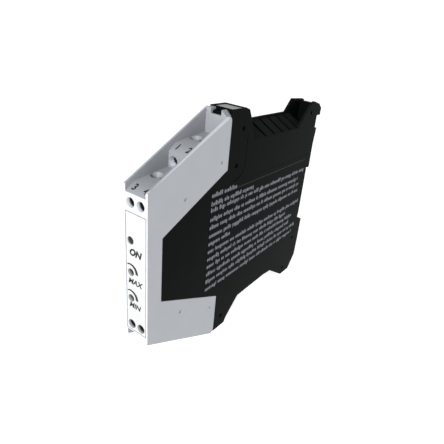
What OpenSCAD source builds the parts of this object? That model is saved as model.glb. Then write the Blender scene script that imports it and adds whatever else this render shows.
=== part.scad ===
// Signal converter in a slim housing for a 35 mm mounting rail.
// Z is up, the front with its screws faces -Y, and X runs across the narrow width.
// Outlines are drawn as (distance behind the front, height above mid-height).

/* [Overall] */
// Width of the module along the rail
body_w = 12.5; // [12:0.1:14]
// Overall height
height = 117.4; // [114:0.2:121]
// Overall depth, front face to rear head
depth = 137.2; // [134:0.2:142]

/* [Front cover] */
// Wall of the light cover
cover_t = 1; // [0.8:0.05:1.2]
// Length of the cover's cheeks behind the front face
cover_len = 46.2; // [44:0.1:47]
// Height of the flat front face
face_h = 63.4; // [62:0.1:65]
// How far the cheeks stand past the front face at top and bottom
cheek_lip = 3; // [2:0.1:3.5]
// Thickness of the front wall
front_t = 1.5; // [1.3:0.1:1.8]
// Distance from the front face to the side windows
window_front = 7.5; // [7:0.1:9]
// Height of a side window at its front edge
window_h_front = 30; // [28:0.2:31]
// Height of a side window at the rear of the cheek
window_h_rear = 68.4; // [67:0.2:69]
// Distance of the side windows' middle line below mid-height
window_drop = 1.4; // [0:0.1:1.6]
// Radius of the cheek's rear corners
cheek_round = 2; // [1:0.1:2.2]
// Length of the level top of a cheek, in front of its rear edge
cheek_flat = 2.4; // [2.2:0.1:3]
// Diameter of the small locating dimples in the cheeks
dimple_d = 1.5; // [1:0.1:2]

/* [Terminal steps] */
// Distance from one row of terminals to the next, front to back
step_run = 21.4; // [20.8:0.1:21.6]
// Distance from one row of terminals to the next, upwards
step_rise = 11.3; // [11:0.1:11.6]
// Depth of the sloping number ledge
ramp_run = 3.6; // [3:0.1:4.5]
// Rise of the sloping number ledge
ramp_rise = 3; // [2.6:0.1:3.2]
// Rise of the tread behind the number ledge
tread_rise = 1.9; // [1.5:0.1:2.2]
// Distance between the two poles of a row
pole_pitch = 5.3; // [5.2:0.02:5.36]
// Distance of the screw axis below the edge of its step
screw_drop = 3.7; // [3.5:0.1:3.9]
// Distance of the wire funnel behind the face of its step
funnel_back = 12.6; // [12.2:0.1:13]
// Diameter of the wire funnel at its mouth
funnel_d = 4.6; // [4:0.1:4.8]
// Diameter of the wire hole
wire_d = 3; // [2.6:0.1:3.2]

/* [Terminal clamps] */
// Diameter of the screw head
head_d = 3.8; // [3.4:0.1:4]
// Height of the screw head
head_t = 1.7; // [1.4:0.1:1.9]
// Diameter of the screw shank
shank_d = 2.5; // [2.2:0.1:2.6]
// Depth of the screw head below the face
head_recess = 2.2; // [1.8:0.1:2.4]
// Length of the cage along the screw
cage_len = 7; // [6.6:0.1:7.2]
// Height of the cage
cage_h = 5.8; // [5:0.1:6]
// Wall of the cage
cage_t = 0.7; // [0.6:0.05:0.8]
// Travel of the cage from open to closed
cage_travel = 3; // [2:0.1:3]
// Thickness of the contact bar
bar_t = 0.8; // [0.6:0.05:0.9]
// Width of the contact bar
bar_w = 2.4; // [2:0.1:2.6]

/* [Front controls] */
// Distance of the controls from the middle of the front, towards -X
control_x = 2.9; // [2.7:0.05:2.95]
// Height of the lamp above mid-height
lamp_z = 12.1; // [11:0.1:13]
// Height of the span trimmer above mid-height
span_z = -2.3; // [-3:0.1:-1.5]
// Height of the zero trimmer above mid-height
zero_z = -14.8; // [-15.5:0.1:-14]
// Diameter of the lamp
lamp_d = 3; // [2.6:0.1:3.1]
// Diameter of a trimmer's rotor
rotor_d = 3; // [2.6:0.1:3.1]

/* [Black shell] */
// Wall of the two black shells
shell_t = 1.5; // [1.3:0.05:1.7]
// Depth of the tall block behind the cover
block_len = 13.2; // [12.8:0.1:14]
// Depth of the low near wall below the top
near_drop = 15.4; // [15:0.1:16]
// Depth of the far wall below the top
far_drop = 8.6; // [8:0.1:9]
// Depth of the raised rear walls below the top
head_drop = 1.6; // [1:0.1:2]
// Diameter of the joining pins' holes
pin_hole_d = 2.3; // [2:0.1:2.5]
// Radius of the groove round the lower pin of the block
groove_r = 7.1; // [6.5:0.1:7.2]

/* [Vent] */
// Distance of the vent's rear end from the rear of the module
vent_back = 19.95; // [19.5:0.05:20.5]
// Distance from one louvre to the next
slat_pitch = 8.3; // [8:0.1:8.4]
// Gap between two louvres
slat_gap = 1.8; // [1.4:0.1:2.4]
// Thickness of a louvre
slat_t = 1.6; // [1.3:0.1:2]

/* [Rail] */
// Height of the mounting rail
rail_h = 35; // [35:0.1:35.4]
// Thickness of the mounting rail
rail_t = 1; // [0.9:0.1:1.2]
// Height of the rail's middle above mid-height
rail_mid = -0.8; // [-1.2:0.1:-0.4]
// Depth of the rail recess behind the lower jaw
rail_recess = 5.7; // [5.4:0.1:5.9]
// Travel of the rail latch
latch_travel = 3; // [2:0.1:3]
// Width of the rail latch
latch_w = 4.8; // [4:0.1:5]

/* [Electronics] */
// Thickness of the circuit board
board_t = 1.6; // [1.4:0.1:1.7]

/* [Hidden] */
$fn = 48;

// Clearances
slide_gap = 0.1;   // between a sliding piece and its guide
run_gap = 0.05;    // radial, between a turning piece and its bore
seat_gap = 0.05;   // between pieces that are only clipped together
over = 0.2;        // how far a cutting shape runs past the face it cuts

// Half sizes
half_w = body_w / 2;
half_h = height / 2;
half_face = face_h / 2;
cheek_in = half_w - cover_t;          // inner face of a cheek
shell_in = half_w - shell_t;          // inner face of a shell's side wall
tenon_out = cheek_in - seat_gap;      // outer face of the shell under a cheek
tenon_in = tenon_out - 1.15;          // inner face of the shell under a cheek
board_half = board_t / 2;

cheek_front = half_face + cheek_lip;  // half height of the cheeks at the front

// Terminal cell, measured from the face and the edge of its step
head_back = head_recess + head_t;
wall_front = head_back + slide_gap;
pocket_y0 = wall_front + 1.2;
cage_y0 = pocket_y0 + cage_travel + 0.3;
pocket_y1 = cage_y0 + cage_len + 0.4;
cell_back = pocket_y1 + 1;
cage_wide = pole_pitch - 0.8;
pocket_wide = cage_wide + 2 * slide_gap;
pocket_z0 = -screw_drop - cage_h / 2 - slide_gap;
pocket_z1 = -screw_drop + cage_h / 2 + slide_gap;
floor_t = 1;
cell_drop = -pocket_z0 + floor_t;
tread_end = ramp_rise + tread_rise;
tread_t = 1.4;
bar_y = cage_y0 + cage_t + 0.4;
bar_top = pocket_z1 - 0.3;
bar_foot = -(cell_drop + 4.6);        // underside of the bar, below the edge of its step
board_z0 = half_face + bar_foot + bar_t;
board_z1 = board_z0 + step_rise;
cover_back = cover_len - 3.4;         // front of the wall that closes the steps
back_wall_t = 1.4;
notch_w = 5.6;
notch_h = 2.4;
dimple_y0 = 19.5;
dimple_y1 = 41.5;
dimple_out = 6.7;                     // how far the dimples lie outside the window
dimple_depth = 0.4;

near_top = half_h - near_drop;
far_top = half_h - far_drop;
head_top = half_h - head_drop;

// Black shell outline, rear part
window_gap = 0.15;                    // between the shell and the edge of the cover's window
block_y0 = cover_len + window_gap;
block_y1 = block_y0 + block_len;
block_round = 2;
valley_y = block_y1 + 6;
head_y = depth;
rise_y = depth - 26.6;                // where the walls start to rise to the head
rear_y = depth - 2.8;
rear_notch_y = depth - 4.3;
floor_y = depth - 0.4 - rail_recess;
rail_top = rail_mid + rail_h / 2;
rail_bottom = rail_mid - rail_h / 2;
rail_gap = 0.3;
groove_y = floor_y + rail_t + 2 * rail_gap;
hook_h = 1.3;                         // how far the lip and the latch reach over the rail's edges
lip_z = rail_top - hook_h;
relief_y = floor_y - 0.4;             // bottom of the relief grooves above and below the rail's seat
seat_top = lip_z - 0.4;
seat_low = rail_bottom + 1.8;
jaw_y = floor_y + rail_recess;
jaw_top = rail_bottom - 3.7;
foot_y0 = depth - 18.2;               // the rear foot, where it stands
foot_y1 = depth - 8;
foot_knee_z = -half_h + 20.7;         // where the foot's rear edge starts to draw in
foot_heel_z = -half_h + 8.9;
arch_y0 = block_y1 + 7.35;            // the arch between block and foot
foot_reach = 34.9;                    // from the rear of the module to the arch before the foot
arch_y1 = depth - foot_reach;
arch_bend_y = arch_y1 - 7.8;
arch_z = -half_h + 12;
under_z = near_top - shell_t;

// Pins that join the shells: position behind the front, height
block_pin = [block_y0 + 9.3, half_h - 8.6];
groove_pin = [block_y0 + 6.4, half_h - 25.3];
low_pin = [block_y0 + 5.5, -half_h + 7];
foot_pin = [foot_y0 + 1.4, -half_h + 4.8];
latch_pin = [floor_y - 3.3, -half_h + 25.4];
PINS = [block_pin, groove_pin, low_pin, foot_pin, latch_pin];
head_dimple = [rise_y + 13.6, head_top - 6.4];
head_dimple_depth = 0.9;
groove_len = 13.5;
groove_w = 0.6;
groove_depth = 0.4;

// Side label
label_t = 0.2;
label_y0 = 36.2;
label_y1 = depth - 7.8;
label_z1 = 25.2;
label_z0 = -28.8;

// Vent
slat_y0 = valley_y;
first_gap = slat_y0 + 11.1;
vent_y0 = slat_y0 - 0.6;
vent_y1 = depth - vent_back;
last_slat = 3;                        // shortest length left behind the last gap
gaps = floor((vent_y1 - first_gap - last_slat) / slat_pitch) + 1;
slat_far_x = -shell_in + 0.15;
slat_rise = 6;

// Marking plate on the block
plate_t = 1.2;
plate_edge = 0.9;
plate_y0 = block_y0 + 0.8;
plate_y1 = block_y1 - 3.4;

// Trimmers and lamp
trimmer_w = 3.8;
trimmer_len = 4.6;
trimmer_y0 = front_t + 0.4;
rotor_y0 = 0.9;
rotor_len = 2.8;
control_clear = 0.2;
label_plate_t = 0.8;
label_plate_w = body_w - 1.3;
label_plate_top = half_face - 7.5;
label_plate_bottom = -half_face + 0.6;

// Latch
latch_y0 = floor_y - 9.2;
latch_y1 = jaw_y - shell_t - 2.2;
latch_top = latch_pin[1] + 6.3;
latch_low = -half_h + 9.2;
latch_arm_top = latch_low + 2.7;
window_y0 = latch_y0 + 1.7;
window_y1 = latch_y1 - 1.9;
window_z0 = latch_low + 1.8;
window_z1 = latch_pin[1] - 3.5;
spring_seat_z = latch_low + 4.9;
seat_t = 2;                           // thickness of the spring's seat
spring_y = (window_y0 + window_y1) / 2;
spring_d = 3.6;
spring_wire = 0.5;
spring_turns = 5;
nose_y1 = jaw_y - 0.1;
latch_clear = 0.15;                   // between the latch and the rail's front
hook_t = 0.8;                         // thickness of the latch's hook at its tip
nose_drop = 2.2;                      // from the rail's lower edge down to the nose
nose_h = 1.1;                         // height of the nose
neck_drop = 6.5;                      // from the rail's lower edge down to the latch's full depth
top_slope = 2;                        // rise of the latch's top edge
heel_y = 1.6;                         // corner cut off the lower rear of the latch
heel_z = 2;
arm_root = 2.2;                       // the release arm starts this far behind the arch
arm_tip = 1.2;                        // and ends this far in front of it
tip_groove_w = 1.2;                   // groove for a screwdriver in the release arm
tip_groove_y = 3;
tip_groove_len = 4.6;
tip_groove_roof = 0.9;

// Signs that place the eight terminals: [row, pole side, top or bottom]
function t_row(n) = (n == 1 || n == 2 || n == 7 || n == 8) ? 1 : 0;
function t_side(n) = n % 2 == 1 ? -1 : 1;
function t_up(n) = n <= 4 ? 1 : -1;

// Points of an arc that rounds the corner b between a and c
function unit(v) = v / norm(v);
function corner_arc(a, b, c, r, steps = 6) =
  let (u = unit(a - b), v = unit(c - b), half = acos(u * v) / 2,
       mid = b + unit(u + v) * r / sin(half),
       p = b + u * r / tan(half), q = b + v * r / tan(half),
       a0 = atan2(p[1] - mid[1], p[0] - mid[0]),
       a1 = atan2(q[1] - mid[1], q[0] - mid[0]),
       turn = a1 - a0 > 180 ? a1 - a0 - 360 : a1 - a0 < -180 ? a1 - a0 + 360 : a1 - a0)
  [for (i = [0:steps]) mid + r * [cos(a0 + turn * i / steps), sin(a0 + turn * i / steps)]];

// An outline with each corner rounded by its own radius; corners are [y, z, r]
function rounded(corners) =
  let (n = len(corners))
  [for (i = [0:n - 1])
    let (p = corners[i], before = corners[(i + n - 1) % n], after = corners[(i + 1) % n])
    each p[2] > 0
      ? corner_arc([before[0], before[1]], [p[0], p[1]], [after[0], after[1]], p[2])
      : [[p[0], p[1]]]];

// Upper (1) or lower (-1) edge of the cheek's window at a distance behind the front
function window_edge(y, up) =
  let (grown = (window_h_rear - window_h_front) * (y - window_front) / (cover_len - window_front))
  up * (window_h_front + grown) / 2 - window_drop;

function flipped(pts) = [for (i = [len(pts) - 1:-1:0]) [pts[i][0], -pts[i][1]]];

// Moves a shape from the outline's axes to the part's own frame
module in_frame() {
  translate([0, -depth / 2, half_h]) children();
}

// A plate from x0 to x1 with an outline in the Y-Z plane
module plate(x0, x1, pts) {
  translate([x0, 0, 0]) rotate([90, 0, 90]) linear_extrude(x1 - x0) polygon(pts);
}

module block(x0, x1, y0, y1, z0, z1) {
  translate([x0, y0, z0]) cube([x1 - x0, y1 - y0, z1 - z0]);
}

// A round bar along Y, from y0 to y1
module rod_y(r, y0, y1) {
  translate([0, y0, 0]) rotate([-90, 0, 0]) cylinder(r = r, h = y1 - y0);
}

// A round bar along X, from x0 to x1
module rod_x(r, x0, x1) {
  translate([x0, 0, 0]) rotate([0, 90, 0]) cylinder(r = r, h = x1 - x0);
}

// Puts a shape at terminal n, with its origin at the screw axis on the face of its step
module at_terminal(n) {
  row = t_row(n);
  mirror([0, 0, t_up(n) < 0 ? 1 : 0])
    translate([t_side(n) * pole_pitch / 2, row * step_run,
               half_face + row * step_rise - screw_drop])
      children();
}

// Front cover: the light moulding with its cheeks and terminal steps

cheek_outline = rounded([
  [0, cheek_front, 0.8], [cover_len - cheek_flat, half_h, 1], [cover_len, half_h, cheek_round],
  [cover_len, window_edge(cover_len, 1), 0], [window_front, window_edge(window_front, 1), 0.6],
  [window_front, window_edge(window_front, -1), 0.6], [cover_len, window_edge(cover_len, -1), 0],
  [cover_len, -half_h, cheek_round], [cover_len - cheek_flat, -half_h, 1], [0, -cheek_front, 0.8]
]);

// Section of one step: number ledge, tread up to the given distance, and the cell below it
function cell_outline(run) = [
  [0, 0], [ramp_run, ramp_rise], [run, tread_end],
  [run, tread_end - tread_t], [cell_back, tread_end - tread_t - 1],
  [cell_back, -cell_drop], [0, -cell_drop]
];

// Cuts for one pole: counterbore, cage pocket, wire funnel and slot for the contact bar
module pole_cuts() {
  rod_y(head_d / 2 + control_clear, -over, wall_front);
  rod_y(shank_d / 2 + 3 * run_gap, 0, pocket_y0 + over);
  block(-pocket_wide / 2, pocket_wide / 2, pocket_y0, pocket_y1,
        pocket_z0 + screw_drop, pocket_z1 + screw_drop);
  translate([0, funnel_back, 0]) {
    cylinder(d = wire_d, h = screw_drop + tread_end + 1);
    translate([0, 0, screw_drop + ramp_rise - 1.6])
      cylinder(d1 = wire_d, d2 = funnel_d + 0.9, h = 2.9);
  }
  block(-bar_w / 2 - slide_gap, bar_w / 2 + slide_gap, bar_y - slide_gap,
        bar_y + bar_t + slide_gap, screw_drop - cell_drop - over, 0);
}

module steps_solid() {
  for (row = [0, 1])
    translate([0, row * step_run, half_face + row * step_rise])
      plate(-cheek_in, cheek_in, cell_outline((row == 0 ? step_run : cover_back - step_run) + over));
  back_z = half_face + step_rise + tread_end - tread_t;
  block(-cheek_in, cheek_in, cover_back, cover_back + back_wall_t, back_z, half_h);
  block(-cheek_in, cheek_in, cover_back, cover_len, half_h - back_wall_t, half_h);
}

module front_cover() {
  color([0.72, 0.74, 0.77]) in_frame() difference() {
    union() {
      plate(cheek_in, half_w, cheek_outline);
      plate(-half_w, -cheek_in, cheek_outline);
      block(-cheek_in, cheek_in, 0, front_t, -half_face, half_face);
      steps_solid();
      mirror([0, 0, 1]) steps_solid();
    }
    for (n = [1:8]) at_terminal(n) pole_cuts();
    // notches for the shell's hooks at top and bottom
    for (s = [0, 1]) mirror([0, 0, s])
      block(-notch_w / 2, notch_w / 2, cover_back - over, cover_len + over,
            half_h - notch_h, half_h + over);
    // recess for the printed label, and holes for lamp and trimmers
    block(-label_plate_w / 2, label_plate_w / 2, -over, label_plate_t,
          label_plate_bottom, label_plate_top);
    control_holes(front_t + over);
    // locating dimples in both cheeks
    for (s = [-1, 1], y = [dimple_y0, dimple_y1], up = [-1, 1])
      translate([s * half_w, y, window_edge(y, up) + up * dimple_out])
        rod_x(dimple_d / 2, -dimple_depth, dimple_depth);
  }
}

module control_holes(y1) {
  for (c = [[lamp_z, lamp_d], [span_z, rotor_d], [zero_z, rotor_d]])
    translate([-control_x, 0, c[0]]) rod_y(c[1] / 2 + control_clear, -over, y1);
}

// Printed label set in the front wall
module front_label() {
  color([0.95, 0.95, 0.94]) in_frame() difference() {
    block(-label_plate_w / 2, label_plate_w / 2, 0, label_plate_t,
          label_plate_bottom, label_plate_top);
    control_holes(label_plate_t + over);
    for (n = [5, 6]) at_terminal(n) rod_y(head_d / 2 + control_clear, -over, label_plate_t + over);
  }
}

// Black shells

nose_front = window_front + window_gap;
nose_z0 = window_h_front / 2 - window_gap / 2;
nose_z1 = window_h_rear / 2 - window_gap;
nose = [
  [block_y0, -nose_z1 - window_drop, 0], [nose_front, -nose_z0 - window_drop, 0.6],
  [nose_front, nose_z0 - window_drop, 0.6], [block_y0, nose_z1 - window_drop, 0]
];
tenon_margin = 3.4;
tenon_y0 = window_front - 0.6;
tenon_y1 = block_y0 + 3;
tenon_top = window_h_rear / 2 + tenon_margin;
tenon_half = [
  [tenon_y1, tenon_top], [cover_len, tenon_top], [tenon_y0, window_h_front / 2 + 2]
];
tenon_outline = concat(tenon_half, flipped(tenon_half));

// Rear edge from the head down to the foot, shared by both shells
rear_edge = [
  [head_y, head_top - 4.5, 1], [head_y, near_top + 5.1, 0], [rear_notch_y, near_top + 5.1, 0],
  [rear_notch_y, near_top - 2, 0], [rear_y + 1, near_top - 2.6, 0.4], [rear_y, near_top - 12.3, 0],
  [rear_y, lip_z + 0.8, 0.4], [rear_y - 0.8, lip_z, 0],
  [groove_y, lip_z, 0], [groove_y, rail_top + rail_gap, 0], [relief_y, rail_top + rail_gap, 0],
  [relief_y, seat_top, 0], [floor_y, seat_top, 0], [floor_y, seat_low, 0], [relief_y, seat_low, 0],
  [relief_y, jaw_top + 2.8, 0], [jaw_y, jaw_top, 0.6],
  [jaw_y, foot_knee_z, 0], [jaw_y - 0.9, foot_heel_z, 1.5],
  [foot_y1, -half_h, 1.2], [foot_y0, -half_h, 2.5], [arch_y1, arch_z - 0.9, 0],
  [arch_bend_y, arch_z, 1], [arch_y0, arch_z, 1], [block_y1 - 2.6, -half_h + 2.4, 0.8],
  [block_y1 - 4, -half_h, 0.4], [block_y0, -half_h, 0]
];

block_top = [[block_y0, half_h, 0], [block_y1 - 0.6, half_h, block_round]];

near_outline = rounded(concat(
  block_top,
  [[block_y1 + 2.2, half_h - 5.5, 0], [valley_y, near_top, 0.6], [rise_y, near_top, 0.4],
   [rise_y + 12.4, near_top + 12.4, 0.8], [rise_y + 16, head_top, 1],
   [head_y - 3.4, head_top - 1.8, 1]],
  rear_edge, nose
));

far_outline = rounded(concat(
  block_top,
  [[block_y1 + 2.8, far_top + 3, 0], [valley_y - 1.5, far_top, 0.6], [rise_y + 2.4, far_top, 0.4],
   [rise_y + 9.4, head_top, 0.8], [head_y - 3.4, head_top - 0.8, 1]],
  rear_edge, nose
));

// Outline that the closing wall between the shells follows
rim_outline = rounded(concat(
  [[block_y0, half_h, 0], [block_y1 - 0.6, half_h, block_round]],
  [[valley_y - 1, near_top, 0.6], [head_y - 8, near_top, 0], [head_y - 8, head_top - 1.5, 0],
   [head_y - 3.4, head_top - 1.8, 1]],
  rear_edge
));

// Hollow inside the closing wall
cavity_outline = [
  [block_y0 + shell_t, half_h - plate_t - shell_t],
  [block_y1 - shell_t - 0.8, half_h - plate_t - shell_t],
  [valley_y - 2, under_z], [rear_notch_y - shell_t, under_z], [rear_notch_y - shell_t, rail_top + 3],
  [floor_y - shell_t, rail_top + rail_gap - 1], [floor_y - shell_t, jaw_top + 0.6],
  [jaw_y - shell_t, jaw_top - 1.6], [jaw_y - shell_t, foot_knee_z],
  [jaw_y - 0.9 - shell_t, foot_heel_z + 0.6],
  [foot_y1 - 0.7, -half_h + shell_t], [foot_y0 + 0.5, -half_h + shell_t],
  [arch_y1 + 0.7, arch_z + shell_t], [arch_y0 - 0.8, arch_z + shell_t],
  [block_y1 - 4, -half_h + 3], [block_y1 - 4.8, -half_h + shell_t],
  [block_y0 + shell_t, -half_h + shell_t]
];

// Opening towards the front, through which the circuit board reaches the terminals
board_gate = window_h_rear / 2 - 1;

module shell_rim() {
  difference() {
    plate(-shell_in - 0.01, shell_in, rim_outline);
    plate(-shell_in - 1, shell_in + 1, cavity_outline);
    block(-half_w, half_w, block_y0 - 1, block_y0 + 2 * shell_t, -board_gate, board_gate);
    // room for the side cover's tongue that lies under the cheek
    block(tenon_in - seat_gap, half_w, block_y0 - 1, tenon_y1 + seat_gap,
          -tenon_top - seat_gap, tenon_top + seat_gap);
    // vent between the block and the rear head
    block(-half_w, half_w, vent_y0 - seat_gap, vent_y1 + seat_gap, under_z - 1, half_h);
    plate_seat();
    // ways for the latch: its nose at the jaw and its arm at the foot
    block(-latch_w / 2 - slide_gap, latch_w / 2 + slide_gap, floor_y + 0.01, depth + 1,
          jaw_top - latch_travel - 1.6, jaw_top + 3.2);
    block(-latch_w / 2 - slide_gap, latch_w / 2 + slide_gap, arch_y1 - 2.6, arch_y1 + 12,
          latch_low - latch_travel - 0.4, latch_arm_top + slide_gap);
  }
}

// Seat of the marking plate in the top of the block
module plate_seat() {
  block(-half_w + plate_edge, half_w - plate_edge, plate_y0 - seat_gap, plate_y1 + seat_gap,
        half_h - plate_t, half_h + over);
}

// Small tooth that stands in the notch of the cover
module cover_hook() {
  block(-notch_w / 2 + slide_gap, notch_w / 2 - slide_gap, cover_back + back_wall_t + 0.3,
        block_y0 + 0.5, half_h - notch_h + slide_gap, half_h - 0.9);
}

module shell_pins(x0, x1, r) {
  for (p = PINS) translate([0, p[0], p[1]]) rod_x(r, x0, x1);
}

// Groove down the side of the block and round its lower pin
module block_groove(x0, x1) {
  r0 = groove_r - groove_w / 2;
  r1 = groove_r + groove_w / 2;
  y = groove_pin[0];
  z = groove_pin[1];
  block(x0, x1, y + r0, y + r1, z, z + groove_len);
  sweep = 125;
  pie = concat([[0, 0]], [for (i = [0:5]) 2 * r1 * [cos(-sweep * i / 5), sin(-sweep * i / 5)]]);
  translate([x0, y, z]) rotate([90, 0, 90]) linear_extrude(x1 - x0)
    intersection() {
      difference() {
        circle(r = r1);
        circle(r = r0);
      }
      polygon(pie);
    }
}

module base_shell() {
  color([0.13, 0.13, 0.14]) in_frame() {
    difference() {
      union() {
        plate(-half_w, -shell_in, far_outline);
        plate(-tenon_out, -tenon_in, tenon_outline);
        shell_rim();
        for (s = [0, 1]) mirror([0, 0, s]) cover_hook();
      }
      translate([-half_w, 0, 0]) block_groove(-over, groove_depth);
      plate_seat();
    }
    shell_pins(-shell_in - 0.2, half_w - 1, pin_hole_d / 2 - slide_gap);
    spring_seat();
    board_posts();
  }
}

// Seat of the latch spring, standing on the far wall inside the latch's window
module spring_seat() {
  block(-shell_in - 0.2, latch_w / 2, spring_y - spring_d / 2 - 0.4, spring_y + spring_d / 2 + 0.4,
        spring_seat_z - seat_t, spring_seat_z);
}

// Posts on the far wall that carry the circuit board
module board_posts() {
  for (y = [board_post_y0, board_post_y1], z = [board_post_z0, board_post_z1])
    block(-shell_in - 0.2, -board_half, y, y + 3, z, z + 3);
}

module slat(y0, y1) {
  lower = [half_w, near_top];
  upper = [slat_far_x, near_top + slat_rise];
  translate([0, y1, 0]) rotate([90, 0, 0]) linear_extrude(y1 - y0)
    polygon([
      lower, upper, upper - [0, slat_t],
      [shell_in - 0.4, near_top - slat_t], [half_w, near_top - slat_t]
    ]);
}

module vent_slats() {
  slat(vent_y0, first_gap - slat_gap / 2);
  for (i = [0:gaps - 1])
    slat(first_gap + i * slat_pitch + slat_gap / 2,
         i < gaps - 1 ? first_gap + (i + 1) * slat_pitch - slat_gap / 2 : vent_y1);
}

module side_cover() {
  color([0.13, 0.13, 0.14]) in_frame() difference() {
    union() {
      plate(shell_in, half_w, near_outline);
      plate(tenon_in, tenon_out, tenon_outline);
      vent_slats();
    }
    block(half_w - label_t, half_w + over, label_y0, label_y1, label_z0, label_z1);
    shell_pins(shell_in - 1, half_w + over, pin_hole_d / 2);
    translate([half_w, head_dimple[0], head_dimple[1]])
      rod_x(pin_hole_d / 2, -head_dimple_depth, over);
    translate([half_w, 0, 0]) block_groove(-groove_depth, over);
    plate_seat();
  }
}

// Thin label with printed notes, set flush in the side cover
module side_label() {
  color([0.08, 0.08, 0.09]) in_frame()
    block(half_w - label_t, half_w, label_y0, label_y1, label_z0, label_z1);
}

// Light plate on top of the block, for marking the module
module marking_plate() {
  color([0.85, 0.86, 0.88]) in_frame()
    block(-half_w + plate_edge + seat_gap, half_w - plate_edge - seat_gap, plate_y0, plate_y1,
          half_h - plate_t, half_h);
}

// Electronics

board_y0 = front_t + 1.5;
board_y1 = floor_y - 3;
board_top = under_z - 2.3;
board_low = -board_top - 2.5;
board_post_y0 = block_y1 + 2;
board_post_y1 = latch_y0 - 8;
board_post_z0 = board_low + 4;
board_post_z1 = board_top - 8;

board_outline = [
  [board_y0, -board_z0], [board_y0, board_z0], [step_run + 0.6, board_z0],
  [step_run + 6.6, board_z1], [block_y0 - 0.4, board_z1], [groove_pin[0] - 3.8, board_z1 - 4],
  [groove_pin[0] + 3, board_z1 - 4], [groove_pin[0] + 3, board_top], [board_y1, board_top],
  [board_y1, rail_top + 3.3], [latch_y0 - 1.5, rail_top - 2.7], [latch_y0 - 1.5, board_low],
  [block_y1 + 0.5, board_low], [block_y1 - 7.5, -board_z1], [step_run + 6.6, -board_z1],
  [step_run + 0.6, -board_z0]
];

module circuit_board() {
  color([0.1, 0.35, 0.2]) in_frame() plate(-board_half, board_half, board_outline);
}

// Transformer, in the middle of the board
core_y = 84;
core_z = 8;
core_len = 18;
core_h = 22;
core_t = 3.4;
core_leg = 4.8;                       // height of the middle leg
core_hole_len = 11.2;
core_hole_h = 5.2;
coil_gap = 0.1;

// Flat ferrite frame of the isolating transformer, with a middle leg
module isolation_transformer() {
  color([0.22, 0.22, 0.24]) in_frame() translate([board_half, core_y, core_z])
    difference() {
      block(0, core_t, -core_len / 2, core_len / 2, -core_h / 2, core_h / 2);
      for (s = [0, 1]) mirror([0, 0, s])
        block(-over, core_t + over, -core_hole_len / 2, core_hole_len / 2,
              core_leg / 2, core_leg / 2 + core_hole_h);
    }
}

// The two sides of the winding, in the holes of the core
module transformer_winding() {
  color([0.72, 0.4, 0.2]) in_frame() translate([board_half, core_y, core_z])
    for (s = [0, 1]) mirror([0, 0, s])
      block(0, core_t - 3 * coil_gap, -core_hole_len / 2 + coil_gap, core_hole_len / 2 - coil_gap,
            core_leg / 2 + coil_gap, core_leg / 2 + core_hole_h - coil_gap);
}

can_r = 1.85;
can_len = 11;
can_pitch = 6;
can_y = block_y1 + 4;
can_z = -20;

// Three standing electrolytic cans on the left of the board
module filter_capacitors() {
  color([0.2, 0.25, 0.45]) in_frame()
    for (i = [0:2])
      translate([-board_half - can_r, can_y + i * can_pitch, can_z]) cylinder(r = can_r, h = can_len);
}

// Flat cases on the board: [front, low edge, length, width, thickness]
amplifier = [30, -6, 10, 6, 1.8];
input_coupler = [52, 2, 7, 10, 2.6];
output_coupler = [52, -14, 7, 10, 2.6];
regulator = [104, -10, 10, 8, 1.6];
oscillator = [96, 10, 10, 8, 1.6];

module chip(c) {
  block(0, c[4], c[0], c[0] + c[2], c[1], c[1] + c[3]);
}

// Amplifier, optical couplers, regulator and, on the other side, the oscillator
module converter_chips() {
  color([0.1, 0.1, 0.1]) in_frame() {
    for (c = [amplifier, input_coupler, output_coupler, regulator])
      translate([board_half, 0, 0]) chip(c);
    mirror([1, 0, 0]) translate([board_half, 0, 0]) chip(oscillator);
  }
}

module power_lamp() {
  color([0.2, 0.22, 0.2]) in_frame() translate([-control_x, 0, lamp_z]) {
    r = lamp_d / 2;
    difference() {
      union() {
        translate([0, r + 0.3, 0]) sphere(r = r);
        rod_y(r, r + 0.3, 4.6);
        rod_y(r + 0.3, 3.9, 4.8);
      }
      block(-r - 1, r + 1, -1, 0.35, -r, r);
    }
    for (s = [-1, 1])
      block(-0.25, control_x - board_half, 4.6, 5.1, s * 1.1 - 0.25, s * 1.1 + 0.25);
  }
}

module trimmer_body(z) {
  color([0.2, 0.35, 0.65]) in_frame() translate([-control_x, 0, z]) difference() {
    block(-trimmer_w / 2, control_x - board_half, trimmer_y0, trimmer_y0 + trimmer_len,
          -trimmer_w / 2, trimmer_w / 2);
    rod_y(rotor_d / 2 + run_gap, 0, rotor_y0 + rotor_len + run_gap);
  }
}

module trimmer_rotor(z) {
  color([0.8, 0.7, 0.45]) in_frame() translate([-control_x, 0, z]) difference() {
    rod_y(rotor_d / 2, rotor_y0, rotor_y0 + rotor_len);
    block(-rotor_d, rotor_d, rotor_y0 - over, rotor_y0 + 0.8, -0.3, 0.3);
  }
}

module span_trimmer_body() trimmer_body(span_z);
module zero_trimmer_body() trimmer_body(zero_z);
module span_trimmer_rotor() trimmer_rotor(span_z);
module zero_trimmer_rotor() trimmer_rotor(zero_z);

// Rail latch: nose on the rail, guided by a pin, with a release arm at the foot

latch_face = floor_y + latch_clear;
hook_y0 = latch_face + rail_t + rail_gap;

latch_outline = [
  [latch_face, rail_bottom - slide_gap], [hook_y0, rail_bottom - slide_gap],
  [hook_y0, rail_bottom + hook_h], [hook_y0 + hook_t, rail_bottom + hook_h],
  [nose_y1, rail_bottom - nose_drop], [nose_y1, rail_bottom - nose_drop - nose_h],
  [latch_y1, rail_bottom - neck_drop], [latch_y1, latch_low + heel_z],
  [latch_y1 - heel_y, latch_low], [arch_y1 + arm_root, latch_low],
  [arch_y1 - arm_tip, latch_arm_top], [latch_y0, latch_arm_top],
  [latch_y0, latch_top], [latch_face, latch_top + top_slope]
];

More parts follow.
